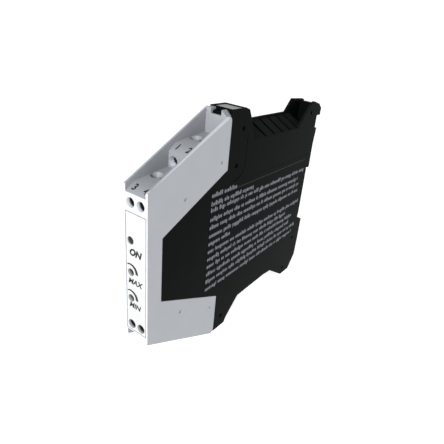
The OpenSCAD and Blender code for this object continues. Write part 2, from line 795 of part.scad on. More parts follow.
module rail_latch() {
  pin = latch_pin;
  slot = pin_hole_d / 2;
  color([0.3, 0.31, 0.33]) in_frame() difference() {
    plate(-latch_w / 2, latch_w / 2, latch_outline);
    block(-half_w, half_w, window_y0, window_y1, window_z0, window_z1);
    // slot that rides on the shell's pin
    for (z = [0, latch_travel + 0.2]) translate([0, pin[0], pin[1] + z]) rod_x(slot, -half_w, half_w);
    block(-half_w, half_w, pin[0] - slot, pin[0] + slot, pin[1], pin[1] + latch_travel + 0.2);
    // groove for a screwdriver in the release arm
    block(-tip_groove_w / 2, tip_groove_w / 2, arch_y1 - tip_groove_y,
          arch_y1 - tip_groove_y + tip_groove_len, latch_low - over,
          latch_arm_top - tip_groove_roof);
  }
}

// Compression spring between its seat and the top of the latch's window
function coil_point(t, r) = [r * cos(360 * spring_turns * t), r * sin(360 * spring_turns * t)];

module latch_spring() {
  sides = 6;
  rings = spring_turns * 12;
  r = (spring_d - spring_wire) / 2;
  z0 = spring_wire / 2 + 0.02;
  free = window_z1 - spring_seat_z - spring_wire - 0.04;
  pts = [for (i = [0:rings], k = [0:sides - 1])
    let (t = i / rings, a = 360 * spring_turns * t, c = coil_point(t, 1),
         rr = r + spring_wire / 2 * cos(360 * k / sides))
    [rr * c[0], rr * c[1], z0 + free * t + spring_wire / 2 * sin(360 * k / sides)]];
  faces = concat(
    [[for (k = [0:sides - 1]) k]],
    [[for (k = [sides - 1:-1:0]) rings * sides + k]],
    [for (i = [0:rings - 1], k = [0:sides - 1])
      let (a = i * sides, b = (i + 1) * sides, next = (k + 1) % sides)
      [a + k, b + k, b + next, a + next]]);
  color([0.75, 0.76, 0.78]) in_frame() translate([0, spring_y, spring_seat_z])
    polyhedron(points = pts, faces = faces);
}

// Terminal screw: slotted head that turns in place
module terminal_screw(n) {
  color([0.78, 0.78, 0.76]) in_frame() at_terminal(n) difference() {
    union() {
      rod_y(head_d / 2, head_recess, head_back);
      rod_y(shank_d / 2, head_back - over, bar_y - 0.25);
    }
    block(-head_d, head_d, head_recess - over, head_recess + 0.9, -0.35, 0.35);
  }
}

// Clamp cage: square tube for the wire, drawn forward by the screw
module clamp_cage(n) {
  color([0.75, 0.72, 0.6]) in_frame() at_terminal(n) difference() {
    block(-cage_wide / 2, cage_wide / 2, cage_y0, cage_y0 + cage_len, -cage_h / 2, cage_h / 2);
    block(-cage_wide / 2 + cage_t, cage_wide / 2 - cage_t, cage_y0 + cage_t,
          cage_y0 + cage_len - cage_t, -cage_h, cage_h);
    rod_y(shank_d / 2 + run_gap, cage_y0 - 1, cage_y0 + 2 * cage_t);
  }
}

// Contact bar: strip inside the cage, with a foot that reaches the circuit board
module contact_bar(n) {
  reach = pole_pitch / 2 - board_half;
  color([0.8, 0.6, 0.35]) in_frame() at_terminal(n) translate([0, 0, screw_drop]) {
    block(-bar_w / 2, bar_w / 2, bar_y, bar_y + bar_t, bar_foot, bar_top);
    block(t_side(n) > 0 ? -reach : -bar_w / 2, t_side(n) > 0 ? bar_w / 2 : reach,
          bar_y, bar_y + bar_t, bar_foot, bar_foot + 0.8);
  }
}

base_shell();
side_cover();
front_cover();
front_label();
marking_plate();
side_label();
circuit_board();
isolation_transformer();
transformer_winding();
filter_capacitors();
converter_chips();
power_lamp();
span_trimmer_body();
zero_trimmer_body();
span_trimmer_rotor();
zero_trimmer_rotor();
rail_latch();
latch_spring();
terminal_screw(1);  // terminal_screw_1
terminal_screw(2);  // terminal_screw_2
terminal_screw(3);  // terminal_screw_3
terminal_screw(4);  // terminal_screw_4
terminal_screw(5);  // terminal_screw_5
terminal_screw(6);  // terminal_screw_6
terminal_screw(7);  // terminal_screw_7
terminal_screw(8);  // terminal_screw_8
clamp_cage(1);  // clamp_cage_1
clamp_cage(2);  // clamp_cage_2
clamp_cage(3);  // clamp_cage_3
clamp_cage(4);  // clamp_cage_4
clamp_cage(5);  // clamp_cage_5
clamp_cage(6);  // clamp_cage_6
clamp_cage(7);  // clamp_cage_7
clamp_cage(8);  // clamp_cage_8
contact_bar(1);  // contact_bar_1
contact_bar(2);  // contact_bar_2
contact_bar(3);  // contact_bar_3
contact_bar(4);  // contact_bar_4
contact_bar(5);  // contact_bar_5
contact_bar(6);  // contact_bar_6
contact_bar(7);  // contact_bar_7
contact_bar(8);  // contact_bar_8
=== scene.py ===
# %% [markdown]
# # A signal converter for the control cabinet
# The real thing is a slim module that clips on a mounting rail: two black moulded shells, a light
# grey cover with stepped screw clamps, and a printed front with a lamp and two trimmers.
# The construction comes as a fixed frame, with every piece at its real size and place.
# This lesson dresses it: finishes for the plastics and metals, screws, print and a photo studio.

# %% Load the frame
import math
import random

import bpy
from mathutils import Matrix, Vector


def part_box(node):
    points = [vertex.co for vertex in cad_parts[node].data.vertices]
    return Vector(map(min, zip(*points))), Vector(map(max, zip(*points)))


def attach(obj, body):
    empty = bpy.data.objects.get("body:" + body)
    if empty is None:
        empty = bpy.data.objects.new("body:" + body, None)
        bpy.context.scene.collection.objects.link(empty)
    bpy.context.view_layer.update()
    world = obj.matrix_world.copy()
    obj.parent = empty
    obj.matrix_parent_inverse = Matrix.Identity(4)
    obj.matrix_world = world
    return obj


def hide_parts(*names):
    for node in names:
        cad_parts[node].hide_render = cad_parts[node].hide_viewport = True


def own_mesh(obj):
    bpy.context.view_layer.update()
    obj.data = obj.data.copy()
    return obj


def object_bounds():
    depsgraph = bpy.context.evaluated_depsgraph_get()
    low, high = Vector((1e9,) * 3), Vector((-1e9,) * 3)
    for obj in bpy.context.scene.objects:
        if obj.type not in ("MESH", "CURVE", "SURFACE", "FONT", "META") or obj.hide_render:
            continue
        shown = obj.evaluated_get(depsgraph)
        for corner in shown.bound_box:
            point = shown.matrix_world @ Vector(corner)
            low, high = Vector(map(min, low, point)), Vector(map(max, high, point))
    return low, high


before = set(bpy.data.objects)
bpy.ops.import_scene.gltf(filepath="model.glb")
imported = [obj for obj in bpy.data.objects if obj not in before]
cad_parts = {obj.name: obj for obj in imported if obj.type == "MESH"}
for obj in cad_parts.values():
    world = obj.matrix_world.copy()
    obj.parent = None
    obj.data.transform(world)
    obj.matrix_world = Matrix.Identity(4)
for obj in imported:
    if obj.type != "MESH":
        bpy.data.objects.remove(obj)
cad_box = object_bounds()
MM = 0.001
print("pieces in the frame:", len(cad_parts))

# %% [markdown]
# ## The camera
# The photograph is taken from close by, a little to the right of the front and from above, so the
# side runs away steeply. Its edges give three vanishing points, and these give the lens, the
# direction and a slight roll. The lens is written as a real focal length, and the small shift puts
# the optical axis where the photograph has it.

# %% Camera
IMAGE = 444
focal_px = 390.0
axis_px = (260.0, 208.0)
view_azimuth = math.radians(29.628)
view_elevation = math.radians(24.115)
view_roll = math.radians(7.657)
camera_place = Vector((101.05, -156.10, 148.40)) * MM

camera_data = bpy.data.cameras.new("camera")
camera_data.sensor_width = 36
camera_data.lens = focal_px / IMAGE * camera_data.sensor_width
camera_data.shift_x = (IMAGE / 2 - axis_px[0]) / IMAGE
camera_data.shift_y = (axis_px[1] - IMAGE / 2) / IMAGE
camera_data.clip_start = 0.01
camera = bpy.data.objects.new("camera", camera_data)
bpy.context.scene.collection.objects.link(camera)
back = Vector((
    math.cos(view_elevation) * math.sin(view_azimuth),
    -math.cos(view_elevation) * math.cos(view_azimuth),
    math.sin(view_elevation),
))
turn = back.to_track_quat("Z", "Y").to_matrix().to_4x4() @ Matrix.Rotation(view_roll, 4, "Z")
camera.matrix_world = Matrix.Translation(camera_place) @ turn
bpy.context.scene.camera = camera
print(f"camera: {camera_data.lens:.1f} mm lens, {camera_place.length * 1000:.0f} mm from the foot")

# %% [markdown]
# ## A white studio
# The photograph is a cut-out on pure white, so the object stands on a light table, the self-lit
# sheet of pale acrylic of product photographers. A rounded backdrop would do too, but a large
# glowing floor needs no placing. The Standard view keeps white at full white.

# %% Light table
scene = bpy.context.scene
scene.view_settings.view_transform = "Standard"
object_centre = Vector([(cad_box[0][i] + cad_box[1][i]) / 2 for i in range(3)])
bpy.ops.object.select_all(action="DESELECT")
TABLE_SIZE = 60
TABLE_DROP = 0.2 * MM
TABLE_GLOW = 0.84


def set_inputs(node, values):
    for socket, value in values.items():
        node.inputs[socket].default_value = value


bpy.ops.mesh.primitive_plane_add(size=TABLE_SIZE, location=(0, 0, cad_box[0][2] - TABLE_DROP))
floor = bpy.context.object
floor.name = "light_table"
table_finish = bpy.data.materials.new("pale_acrylic")
table_finish.use_nodes = True
set_inputs(table_finish.node_tree.nodes["Principled BSDF"], {
    "Base Color": (0.5, 0.5, 0.5, 1), "Roughness": 0.9, "Specular IOR Level": 0.0,
    "Emission Color": (1, 1, 1, 1), "Emission Strength": TABLE_GLOW})
floor.data.materials.append(table_finish)
print(f"light table: {TABLE_SIZE} m wide, {TABLE_DROP / MM} mm below the foot")

# %% [markdown]
# ## The sky and the lamp
# The room is a plain pale dome, brightest near the horizon and darker above, so that the black
# plastic keeps its depth. A point lamp would cast hard shadows, so a softbox, a disk of almost half
# a metre, stands at the front right. It lights the front strongly; painted light on the cover makes
# its front white, and painted shade gives the dark crescent in each hole.

# %% Sky dome
HORIZON, ZENITH = 1.04, 0.38


def add_node(tree, kind):
    return tree.nodes.new("ShaderNode" + kind)


def link(start, end):
    start.id_data.links.new(start, end)


dome = bpy.data.worlds.new("pale_dome")
dome.use_nodes = True
tree = dome.node_tree
direction = add_node(tree, "TexCoord")
height_axis = add_node(tree, "SeparateXYZ")
fade = add_node(tree, "MapRange")
set_inputs(fade, {"From Min": 0.15, "From Max": 0.60, "To Min": HORIZON, "To Max": ZENITH})
link(direction.outputs["Generated"], height_axis.inputs["Vector"])
link(height_axis.outputs["Z"], fade.inputs["Value"])
background = tree.nodes["Background"]
background.inputs["Color"].default_value = (1, 1, 1, 1)
link(fade.outputs["Result"], background.inputs["Strength"])
scene.world = dome
print("sky strength from the horizon up:", HORIZON, "to", ZENITH)

# %% Soft light
LIGHT_PLACE = Vector((0.19, -0.90, 0.46))
LIGHT_SIZE = 0.45
LIGHT_WATTS = 9.5
softbox = bpy.data.lights.new("front_right_light", "AREA")
softbox.shape = "DISK"
softbox.size = LIGHT_SIZE
softbox.energy = LIGHT_WATTS
light_holder = bpy.data.objects.new("front_right_light", softbox)
scene.collection.objects.link(light_holder)
aim = (object_centre - LIGHT_PLACE).to_track_quat("-Z", "Y").to_matrix().to_4x4()
light_holder.matrix_world = Matrix.Translation(LIGHT_PLACE) @ aim
print(f"light {(object_centre - LIGHT_PLACE).length:.2f} m away, {LIGHT_WATTS} W")

# %% [markdown]
# ## Tools of the bench
# Every new piece is made as by hand: a primitive is added at its size, then faces or edges are
# picked and pushed in edit mode. Picking is done by the place or the direction of a face, so that
# the same pick works each time. At the end a piece's place is written into its mesh.

# %% Picking and placing
def switch(mode):
    bpy.ops.object.mode_set(mode=mode)


def bench_clear():
    if bpy.context.mode != "OBJECT":
        switch("OBJECT")
    bpy.ops.object.select_all(action="DESELECT")


def work_on(piece):
    bench_clear()
    piece.select_set(True)
    bpy.context.view_layer.objects.active = piece


def select_all(action="SELECT"):
    bpy.ops.mesh.select_all(action=action)


def pick(piece, kind, test):
    work_on(piece)
    switch("EDIT")
    bpy.ops.mesh.select_mode(type=kind)
    select_all("DESELECT")
    switch("OBJECT")
    mesh = piece.data
    parts = {"VERT": mesh.vertices, "EDGE": mesh.edges, "FACE": mesh.polygons}[kind]
    chosen = [part for part in parts if test(part)]
    for part in chosen:
        part.select = True
    switch("EDIT")
    return len(chosen)


def settle(piece):
    work_on(piece)
    bpy.ops.object.transform_apply(location=True, rotation=True, scale=True)
    piece.data.update()


# %% [markdown]
# ## A terminal screw
# Eight small screws clamp the wires. Each has a round head with a rolled rim, a driver slot crossed
# by a shorter second one, and a threaded shank. The head is a cylinder whose front edge is
# bevelled, and two bars cut the slots, as a saw does. One screw is made at the origin, and the
# others are copies.

# %% Screw head
HEAD_RADIUS = 1.9 * MM
HEAD_HEIGHT = 1.7 * MM
HEAD_BEVEL = 0.22 * MM
ROUND_SIDES = 40


def add_rod(name, radius, depth, middle):
    bench_clear()
    bpy.ops.mesh.primitive_cylinder_add(
        vertices=ROUND_SIDES, radius=radius, depth=depth, location=middle,
        rotation=(math.radians(90), 0, 0))
    rod = bpy.context.object
    rod.name = name
    settle(rod)
    return rod


screw_pattern = add_rod("screw_pattern", HEAD_RADIUS, HEAD_HEIGHT, (0, HEAD_HEIGHT / 2, 0))


def on_head_rim(edge):
    ends = [screw_pattern.data.vertices[i].co for i in edge.vertices]
    return all(end.y < 0.1 * MM and Vector((end.x, end.z)).length > 1.8 * MM for end in ends)


print("rim edges:", pick(screw_pattern, "EDGE", on_head_rim))
bpy.ops.mesh.bevel(offset=HEAD_BEVEL, segments=3, affect="EDGES")

# %% Driver slots
LONG_SLOT, LONG_TAPER = (0.6, 1.5, 4.4), (0.9, 1, 1)
SHORT_SLOT, SHORT_TAPER = (2.3, 1.8, 0.6), (0.8, 1, 0.8)


def cut_with(piece, cutter):
    work_on(piece)
    cut = piece.modifiers.new("cut", "BOOLEAN")
    cut.operation = "DIFFERENCE"
    cut.solver = "EXACT"
    cut.object = cutter
    bpy.ops.object.modifier_apply(modifier="cut")
    bpy.data.objects.remove(cutter)


def add_bar(size, middle=(0, 0, 0)):
    bench_clear()
    bpy.ops.mesh.primitive_cube_add(size=1, location=middle)
    bar = bpy.context.object
    bar.scale = size
    settle(bar)
    return bar


for slot_size, taper in ((LONG_SLOT, LONG_TAPER), (SHORT_SLOT, SHORT_TAPER)):
    slot_bar = add_bar([side * MM for side in slot_size])
    pick(slot_bar, "FACE", lambda face: face.normal.y > 0.9)
    bpy.ops.transform.resize(value=taper)
    bench_clear()
    cut_with(screw_pattern, slot_bar)
print("screw head faces:", len(screw_pattern.data.polygons))

# %% [markdown]
# ## The thread
# A bump map could fake the thread, but it would leave the outline straight. So one tooth of the
# profile is swept round the axis by a Screw modifier, as a die cuts it. The open ends are filled,
# so that the shank is a closed solid.

# %% Threaded shank
SHANK_RADIUS = 1.25 * MM
THREAD_PITCH = 0.45 * MM
THREAD_TURNS = 11
thread_root = SHANK_RADIUS - 0.6 * THREAD_PITCH
crest_start = 0.4 * THREAD_PITCH
crest_end = 0.55 * THREAD_PITCH
WELD = 0.002 * MM


def face_outwards():
    select_all()
    bpy.ops.mesh.normals_make_consistent(inside=False)


thread_mesh = bpy.data.meshes.new("thread")
thread_mesh.from_pydata(
    [(thread_root, 0, 0), (SHANK_RADIUS, crest_start, 0),
     (SHANK_RADIUS, crest_end, 0), (thread_root, THREAD_PITCH, 0)],
    [(0, 1), (1, 2), (2, 3)], [])
thread = bpy.data.objects.new("thread", thread_mesh)
scene.collection.objects.link(thread)
work_on(thread)
sweep = thread.modifiers.new("sweep", "SCREW")
sweep.axis = "Y"
sweep.steps = sweep.render_steps = 16
sweep.screw_offset = THREAD_PITCH
sweep.iterations = THREAD_TURNS
sweep.use_merge_vertices = True
sweep.merge_threshold = 0.001 * MM
bpy.ops.object.modifier_apply(modifier="sweep")
switch("EDIT")
select_all()
bpy.ops.mesh.remove_doubles(threshold=WELD)
bpy.ops.mesh.select_mode(type="VERT")
select_all("DESELECT")
bpy.ops.mesh.select_non_manifold()
bpy.ops.mesh.fill()
face_outwards()
bpy.ops.transform.translate(value=(0, HEAD_HEIGHT - 0.1 * MM, 0))
bench_clear()
print("thread faces:", len(thread.data.polygons), "in", THREAD_TURNS, "turns")

# %% One whole screw
def join(pieces):
    bench_clear()
    for piece in pieces:
        piece.select_set(True)
    bpy.context.view_layer.objects.active = pieces[0]
    bpy.ops.object.join()
    return pieces[0]


def smooth(piece, degrees):
    work_on(piece)
    bpy.ops.object.shade_smooth_by_angle(angle=math.radians(degrees))


join([screw_pattern, thread])
smooth(screw_pattern, 35)
print("screw triangles:", sum(len(face.vertices) - 2 for face in screw_pattern.data.polygons))

# %% [markdown]
# ## Eight screws at their clamps
# The frame gives the place of each screw. The screws of a real module are never all turned the same
# way, so each copy gets its own angle, the same on every run. Each rides on its own body, so that
# it turns when the clamp is driven.

# %% Screws in place
def copy_to(pattern, name, shift):
    work_on(pattern)
    bpy.ops.object.duplicate(linked=False)
    twin = bpy.context.object
    twin.name = name
    twin.data.name = name
    bpy.ops.transform.translate(value=shift)
    settle(twin)
    return twin


def turn_about(piece, middle, angle):
    work_on(piece)
    switch("EDIT")
    select_all()
    bpy.ops.transform.rotate(value=angle, orient_axis="Y", center_override=middle)
    bench_clear()


fitter = random.Random(4)
screws = []
for number in range(1, 9):
    low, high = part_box(f"terminal_screw_{number}")
    middle = (low + high) / 2
    screw = copy_to(screw_pattern, f"screw_{number}", (middle.x, low.y, middle.z))
    turn_about(screw, (middle.x, low.y, middle.z), math.radians(fitter.uniform(-70, 70)))
    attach(screw, f"screw_{number}")
    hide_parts(f"terminal_screw_{number}")
    screws.append(screw)
bpy.data.objects.remove(screw_pattern)
print("screws in place:", len(screws))

# %% [markdown]
# ## The trimmer rotors
# Behind the two round holes sit the brass rotors of the trimmers, which a small screwdriver turns.
# A rotor is a short cylinder with a raised rim and a slot. The rim could be a ring of its own, but
# an inset pushed back a little keeps the rotor one solid, and the slot is cut by a bar. The second
# rotor is a copy of the first.

# %% Trimmer rotors
low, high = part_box("span_trimmer_rotor")
rotor_middle = (low + high) / 2
ROTOR_RADIUS = (high.x - low.x) / 2
RIM_WIDTH = 0.16 * MM
RIM_HEIGHT = 0.15 * MM
span_rotor = add_rod("span_rotor_brass", ROTOR_RADIUS, high.y - low.y, rotor_middle)
pick(span_rotor, "FACE", lambda face: face.normal.y < -0.9)
bpy.ops.mesh.bevel(offset=0.12 * MM, segments=2, affect="EDGES")
pick(span_rotor, "FACE", lambda face: face.normal.y < -0.99)
bpy.ops.mesh.inset(thickness=RIM_WIDTH)
bpy.ops.transform.translate(value=(0, RIM_HEIGHT, 0))
bench_clear()
print("rotor diameter:", round(2 * ROTOR_RADIUS / MM, 2), "mm")

# %% Slot and second rotor
ROTOR_SLOT = (4 * MM, 1.9 * MM, 0.55 * MM)
cut_with(span_rotor, add_bar(ROTOR_SLOT, (rotor_middle.x, low.y, rotor_middle.z)))
smooth(span_rotor, 35)
zero_rotor = copy_to(span_rotor, "zero_rotor_brass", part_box("zero_trimmer_rotor")[0] - low)
for rotor, body, node, angle in (
        (span_rotor, "span_rotor", "span_trimmer_rotor", 35),
        (zero_rotor, "zero_rotor", "zero_trimmer_rotor", -50)):
    turn_about(rotor, sum(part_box(node), Vector()) / 2, math.radians(angle))
    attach(rotor, body)
    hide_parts(node)
print("rotor faces:", len(span_rotor.data.polygons))

# %% [markdown]
# ## The lamp
# The supply lamp is a three millimetre light-emitting diode: a tinted barrel with a rounded front
# and a thin flange, and two legs bent to the board. The front is a bevel of the barrel's edge,
# which is simpler than a sphere, and the flange is an extrusion that is spread outwards.

# %% Lamp
low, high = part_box("power_lamp")
LAMP_RADIUS = 1.5 * MM
LENS_ROUNDING = 0.45 * MM
FLANGE_SPREAD = 1.8 / 1.5
lamp_axis = Vector((-2.9 * MM, 0, (low.z + high.z) / 2))
lamp_front = low.y - 0.2 * MM
flange_front = low.y + 3.55 * MM
lamp_back = low.y + 4.45 * MM
lamp = add_rod("lamp_lens", LAMP_RADIUS, flange_front - lamp_front,
               (lamp_axis.x, (lamp_front + flange_front) / 2, lamp_axis.z))
pick(lamp, "FACE", lambda face: face.normal.y < -0.9)
bpy.ops.mesh.bevel(offset=LENS_ROUNDING, segments=8, affect="EDGES", clamp_overlap=True)
pick(lamp, "FACE", lambda face: face.normal.y > 0.9)
bpy.ops.mesh.extrude_region_move()
bpy.ops.transform.resize(
    value=(FLANGE_SPREAD, 1, FLANGE_SPREAD),
    center_override=(lamp_axis.x, flange_front, lamp_axis.z))
flange_depth = lamp_back - flange_front
bpy.ops.mesh.extrude_region_move(TRANSFORM_OT_translate={"value": (0, flange_depth, 0)})
bench_clear()
print("lamp barrel faces:", len(lamp.data.polygons))

# %% Legs of the lamp
BOARD_SIDE = 0.8 * MM
LEG_SPREAD = 1.1 * MM
LEG_WIDTH = 0.5 * MM
leg_length = abs(lamp_axis.x) - BOARD_SIDE + 0.24 * MM
leg_middle = (lamp_axis.x - BOARD_SIDE) / 2 - 0.13 * MM
for side in (-1, 1):
    leg = add_bar((leg_length, LEG_WIDTH, LEG_WIDTH),
                  (leg_middle, high.y - 0.27 * MM, lamp_axis.z + side * LEG_SPREAD))
    pick(leg, "EDGE", lambda edge: True)
    bpy.ops.mesh.bevel(offset=0.06 * MM, segments=1, affect="EDGES")
    join([lamp, leg])


def size_of(piece):
    return [round(side / MM, 2) for side in piece.dimensions]


smooth(lamp, 35)
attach(lamp, "root")
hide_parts("power_lamp")
print("lamp box:", size_of(lamp))

# %% [markdown]
# ## The latch spring
# A coil of round wire pushes the latch up against the rail. A curve with a bevel could draw it, but
# a ring of the wire's thickness, swept round and up by a Screw modifier, is how it is wound. The
# two open ends are filled one at a time.

# %% Coil spring
low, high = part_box("latch_spring")
WIRE_RADIUS = 0.25 * MM
COIL_TURNS = 5
COIL_PLAY = 0.03 * MM


def add_circle(sides, radius, middle):
    bpy.ops.mesh.primitive_circle_add(
        vertices=sides, radius=radius, location=middle, rotation=(math.radians(90), 0, 0))


coil_radius = (high.x - low.x) / 2 - WIRE_RADIUS
coil_rise = high.z - low.z - 2 * WIRE_RADIUS - 2 * COIL_PLAY
bench_clear()
add_circle(12, WIRE_RADIUS, (coil_radius, 0, 0))
coil = bpy.context.object
coil.name = "coil_spring"
settle(coil)
wind = coil.modifiers.new("wind", "SCREW")
wind.axis = "Z"
wind.steps = wind.render_steps = 28
wind.screw_offset = coil_rise / COIL_TURNS
wind.iterations = COIL_TURNS
wind.use_merge_vertices = False
bpy.ops.object.modifier_apply(modifier="wind")
switch("EDIT")
select_all()
bpy.ops.mesh.remove_doubles(threshold=WELD)
print("coil faces:", len(coil.data.polygons))

# %% Closed wire ends
for end_side in (-1, 1):
    select_all("DESELECT")
    bpy.ops.mesh.select_mode(type="VERT")
    bpy.ops.mesh.select_non_manifold()
    switch("OBJECT")
    for point in coil.data.vertices:
        point.select = point.select and (point.co.z - coil_rise / 2) * end_side > 0
    switch("EDIT")
    bpy.ops.mesh.edge_face_add()
face_outwards()
spring_foot = Vector(((low.x + high.x) / 2, (low.y + high.y) / 2, low.z))
bpy.ops.transform.translate(value=spring_foot + Vector((0, 0, WIRE_RADIUS + COIL_PLAY)))
bench_clear()
smooth(coil, 40)
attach(coil, "root")
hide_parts("latch_spring")
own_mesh(coil)
print("coil:", size_of(coil))

# %% [markdown]
# ## Moulded shells with rounded edges
# A moulded housing never has a knife edge: its outline is rounded by a few tenths of a millimetre,
# and this thin line catches the light. The frame's shells are exact but sharp. A bevel modifier
# would round the small holes too, so each shell is copied, its triangles are merged into flat
# faces, and only the sharp edges of its side faces are picked and bevelled. The new faces on the
# near side are marked as rim and get a painted highlight, so that they are lighter. Normals
# weighted by face area keep flat faces flat.

# %% Rounding the picked edges
SHORTEST_EDGE = 0.2 * MM


def round_edges(piece, round_size, is_outline):
    bpy.ops.mesh.select_mode(type="EDGE")
    select_all("DESELECT")
    bpy.ops.mesh.edges_select_sharp(sharpness=math.radians(35))
    switch("OBJECT")
    sharp = {edge.index for edge in piece.data.edges if edge.select}
    corner = [vertex.co.copy() for vertex in piece.data.vertices]

    def wanted(edge):
        start, end = (corner[i] for i in edge.vertices)
        is_long = (end - start).length > SHORTEST_EDGE
        return edge.index in sharp and is_long and is_outline(start, end)

    count = pick(piece, "EDGE", wanted)
    bpy.ops.mesh.bevel(offset=round_size, segments=3, affect="EDGES", clamp_overlap=False)
    switch("OBJECT")
    if "rim" not in piece.data.attributes:
        piece.data.attributes.new("rim", "FLOAT", "FACE")
    # rounded faces on the near side get the rim mark, a painted highlight
    for face in piece.data.polygons:
        if face.select and face.center.x > 0:
            piece.data.attributes["rim"].data[face.index].value = 1
    switch("EDIT")
    return count


# %% A rounded copy of a shell
def moulded_copy(node, name, roundings, lowered=()):
    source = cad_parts[node]
    piece = bpy.data.objects.new(name, source.data.copy())
    scene.collection.objects.link(piece)
    work_on(piece)
    if piece.data.has_custom_normals:
        bpy.ops.mesh.customdata_custom_splitnormals_clear()
    switch("EDIT")
    select_all()
    bpy.ops.mesh.remove_doubles(threshold=0.0005 * MM)
    for is_corner, drop in lowered:
        print("corner points lowered:", pick(piece, "VERT", is_corner))
        bpy.ops.transform.translate(value=(0, 0, -drop))
        select_all()
    bpy.ops.mesh.dissolve_limited(angle_limit=math.radians(0.5))
    rounded = [round_edges(piece, size, is_outline) for size, is_outline in roundings]
    smooth(piece, 38)
    weigh = piece.modifiers.new("weigh", "WEIGHTED_NORMAL")
    weigh.keep_sharp = True
    bpy.ops.object.modifier_apply(modifier="weigh")
    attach(piece, "root")
    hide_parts(node)
    print(f"{name}: {rounded} edges rounded, {len(piece.data.polygons)} faces")
    return piece


# %% The two black shells
SIDE_REACH = 6.24 * MM
SHELL_ROUNDING = 0.25 * MM


def on_side_face(start, end):
    return abs(start.x) > SIDE_REACH and abs(end.x) > SIDE_REACH


near_shell = moulded_copy("side_cover", "near_shell", [(SHELL_ROUNDING, on_side_face)])
far_shell = moulded_copy("base_shell", "far_shell", [(SHELL_ROUNDING, on_side_face)])

# %% [markdown]
# ## The light cover
# The cover is one light grey moulding with two thin cheeks. Their long slopes have a wide rounding
# and their outline a narrower one, so the edges are picked by how far they lie from the front and
# from the middle. The near cheek of the real cover ends a little lower than the far one. It could
# be modelled anew, but to move its top corners down before the rounding is enough.

# %% Picking the edges of a cheek
CHEEK_START = 32 * MM
CHEEK_RISE = 0.5
CHEEK_REAR = 46 * MM
FRONT_DEPTH = 1.5 * MM
LONG_EDGE = 8 * MM


def from_front(point):
    return point.y - cad_box[0][1], abs(point.z - object_centre.z)


def on_slope(point):
    along, height = from_front(point)
    return height > CHEEK_START + CHEEK_RISE * along


def on_cheek_slope(start, end):
    is_long = abs(end.y - start.y) > LONG_EDGE
    return on_side_face(start, end) and is_long and on_slope(start) and on_slope(end)


def on_outline(point):
    along = from_front(point)[0]
    return along < FRONT_DEPTH or along > CHEEK_REAR or on_slope(point)


def on_cheek_outline(start, end):
    return on_side_face(start, end) and on_outline(start) and on_outline(end)


# %% Cover with a lowered near cheek
REAR_DROP = 2.1 * MM
FRONT_DROP = 0.5 * MM


def on_near_top(point):
    return point.x > 5.2 * MM and point.z > object_centre.z


def on_rear_corner(vertex):
    along, height = from_front(vertex.co)
    return on_near_top(vertex.co) and along > 42.5 * MM and height > 54 * MM


def on_front_corner(vertex):
    along, height = from_front(vertex.co)
    return on_near_top(vertex.co) and along < FRONT_DEPTH and height > 33 * MM


light_cover = moulded_copy(
    "front_cover", "light_cover",
    [(1.1 * MM, on_cheek_slope), (0.3 * MM, on_cheek_outline), (0.12 * MM, on_side_face)],
    [(on_rear_corner, REAR_DROP), (on_front_corner, FRONT_DROP)])

# %% [markdown]
# ## Light and shade on the cover
# The front of the real cover comes out white, and the channel between the cheeks is greyer. This
# bounced light is too fine for a soft studio. It could be baked into a picture, but a level written
# on the faces needs none, as a painter shades a model. Above zero is lighter, below zero darker.

# %% Shade on the front and in the channel
FRONT_LEVEL = 1
CHANNEL_LEVEL = -0.5
FAR_WALL_LEVEL = -0.25
CHANNEL_REACH = 5.9 * MM
cover_mesh = light_cover.data
shade = cover_mesh.attributes.new("shade", "FLOAT", "CORNER")


def shade_face(face, level_at):
    for corner in face.loop_indices:
        point = cover_mesh.vertices[cover_mesh.loops[corner].vertex_index].co
        shade.data[corner].value = level_at(point)


# the front faces get painted light, the channel and far wall painted shade
front_faces = 0
for face in cover_mesh.polygons:
    if face.normal.y < -0.9 and face.center.y < cad_box[0][1] + FRONT_DEPTH:
        front_faces += 1
        shade_face(face, lambda point: FRONT_LEVEL)
    elif abs(face.center.x) < CHANNEL_REACH:
        level = FAR_WALL_LEVEL if face.normal.x > 0.9 else CHANNEL_LEVEL
        shade_face(face, lambda point: level)
print("front faces:", front_faces)

# %% [markdown]
# ## Shade in the holes
# A screw hole gets painted light just inside its edge and painted shade behind it, which gives the
# crescents of the photograph. Its level runs from two at the edge to three at the head of the
# screw, or stops earlier in the holes of the set-back steps. The funnels of the wire openings
# simply get painted shade.

# %% Shade in the holes
EDGE_LEVEL = 2
BOTTOM_LEVEL = 3
STEP_LEVEL = 2.4
STEP_SCREWS = (1, 2, 7, 8)
FUNNEL_LEVEL = -1
SHADE_DEPTH = 2.2 * MM
BORE_REACH = 2.3 * MM
FUNNEL_REACH = 2.4 * MM
FUNNEL_AREA = 1.2 * MM ** 2


def off_axis(face, low, high, across):
    return Vector([face.center[i] - (low[i] + high[i]) / 2 for i in across]).length


def bore_level(point):
    deepest = STEP_LEVEL if number in STEP_SCREWS else BOTTOM_LEVEL
    return min(deepest, max(EDGE_LEVEL, BOTTOM_LEVEL + (point.y - low.y) / SHADE_DEPTH))


# painted light near the edge of each hole, painted shade deeper in and in the funnels
bore_faces = funnel_faces = 0
for number in range(1, 9):
    low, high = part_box(f"terminal_screw_{number}")
    for face in cover_mesh.polygons:
        is_wall = face.center.y < low.y + 1 * MM and abs(face.normal.y) < 0.1
        if is_wall and off_axis(face, low, high, (0, 2)) < BORE_REACH:
            bore_faces += 1
            shade_face(face, bore_level)
for number in range(1, 9):
    low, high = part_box(f"clamp_cage_{number}")
    for face in cover_mesh.polygons:
        is_small = face.area < FUNNEL_AREA and abs(face.normal.x) < 0.99
        if is_small and off_axis(face, low, high, (0, 1)) < FUNNEL_REACH:
            funnel_faces += 1
            shade_face(face, lambda point: FUNNEL_LEVEL)
print("bore faces:", bore_faces, "funnel faces:", funnel_faces)
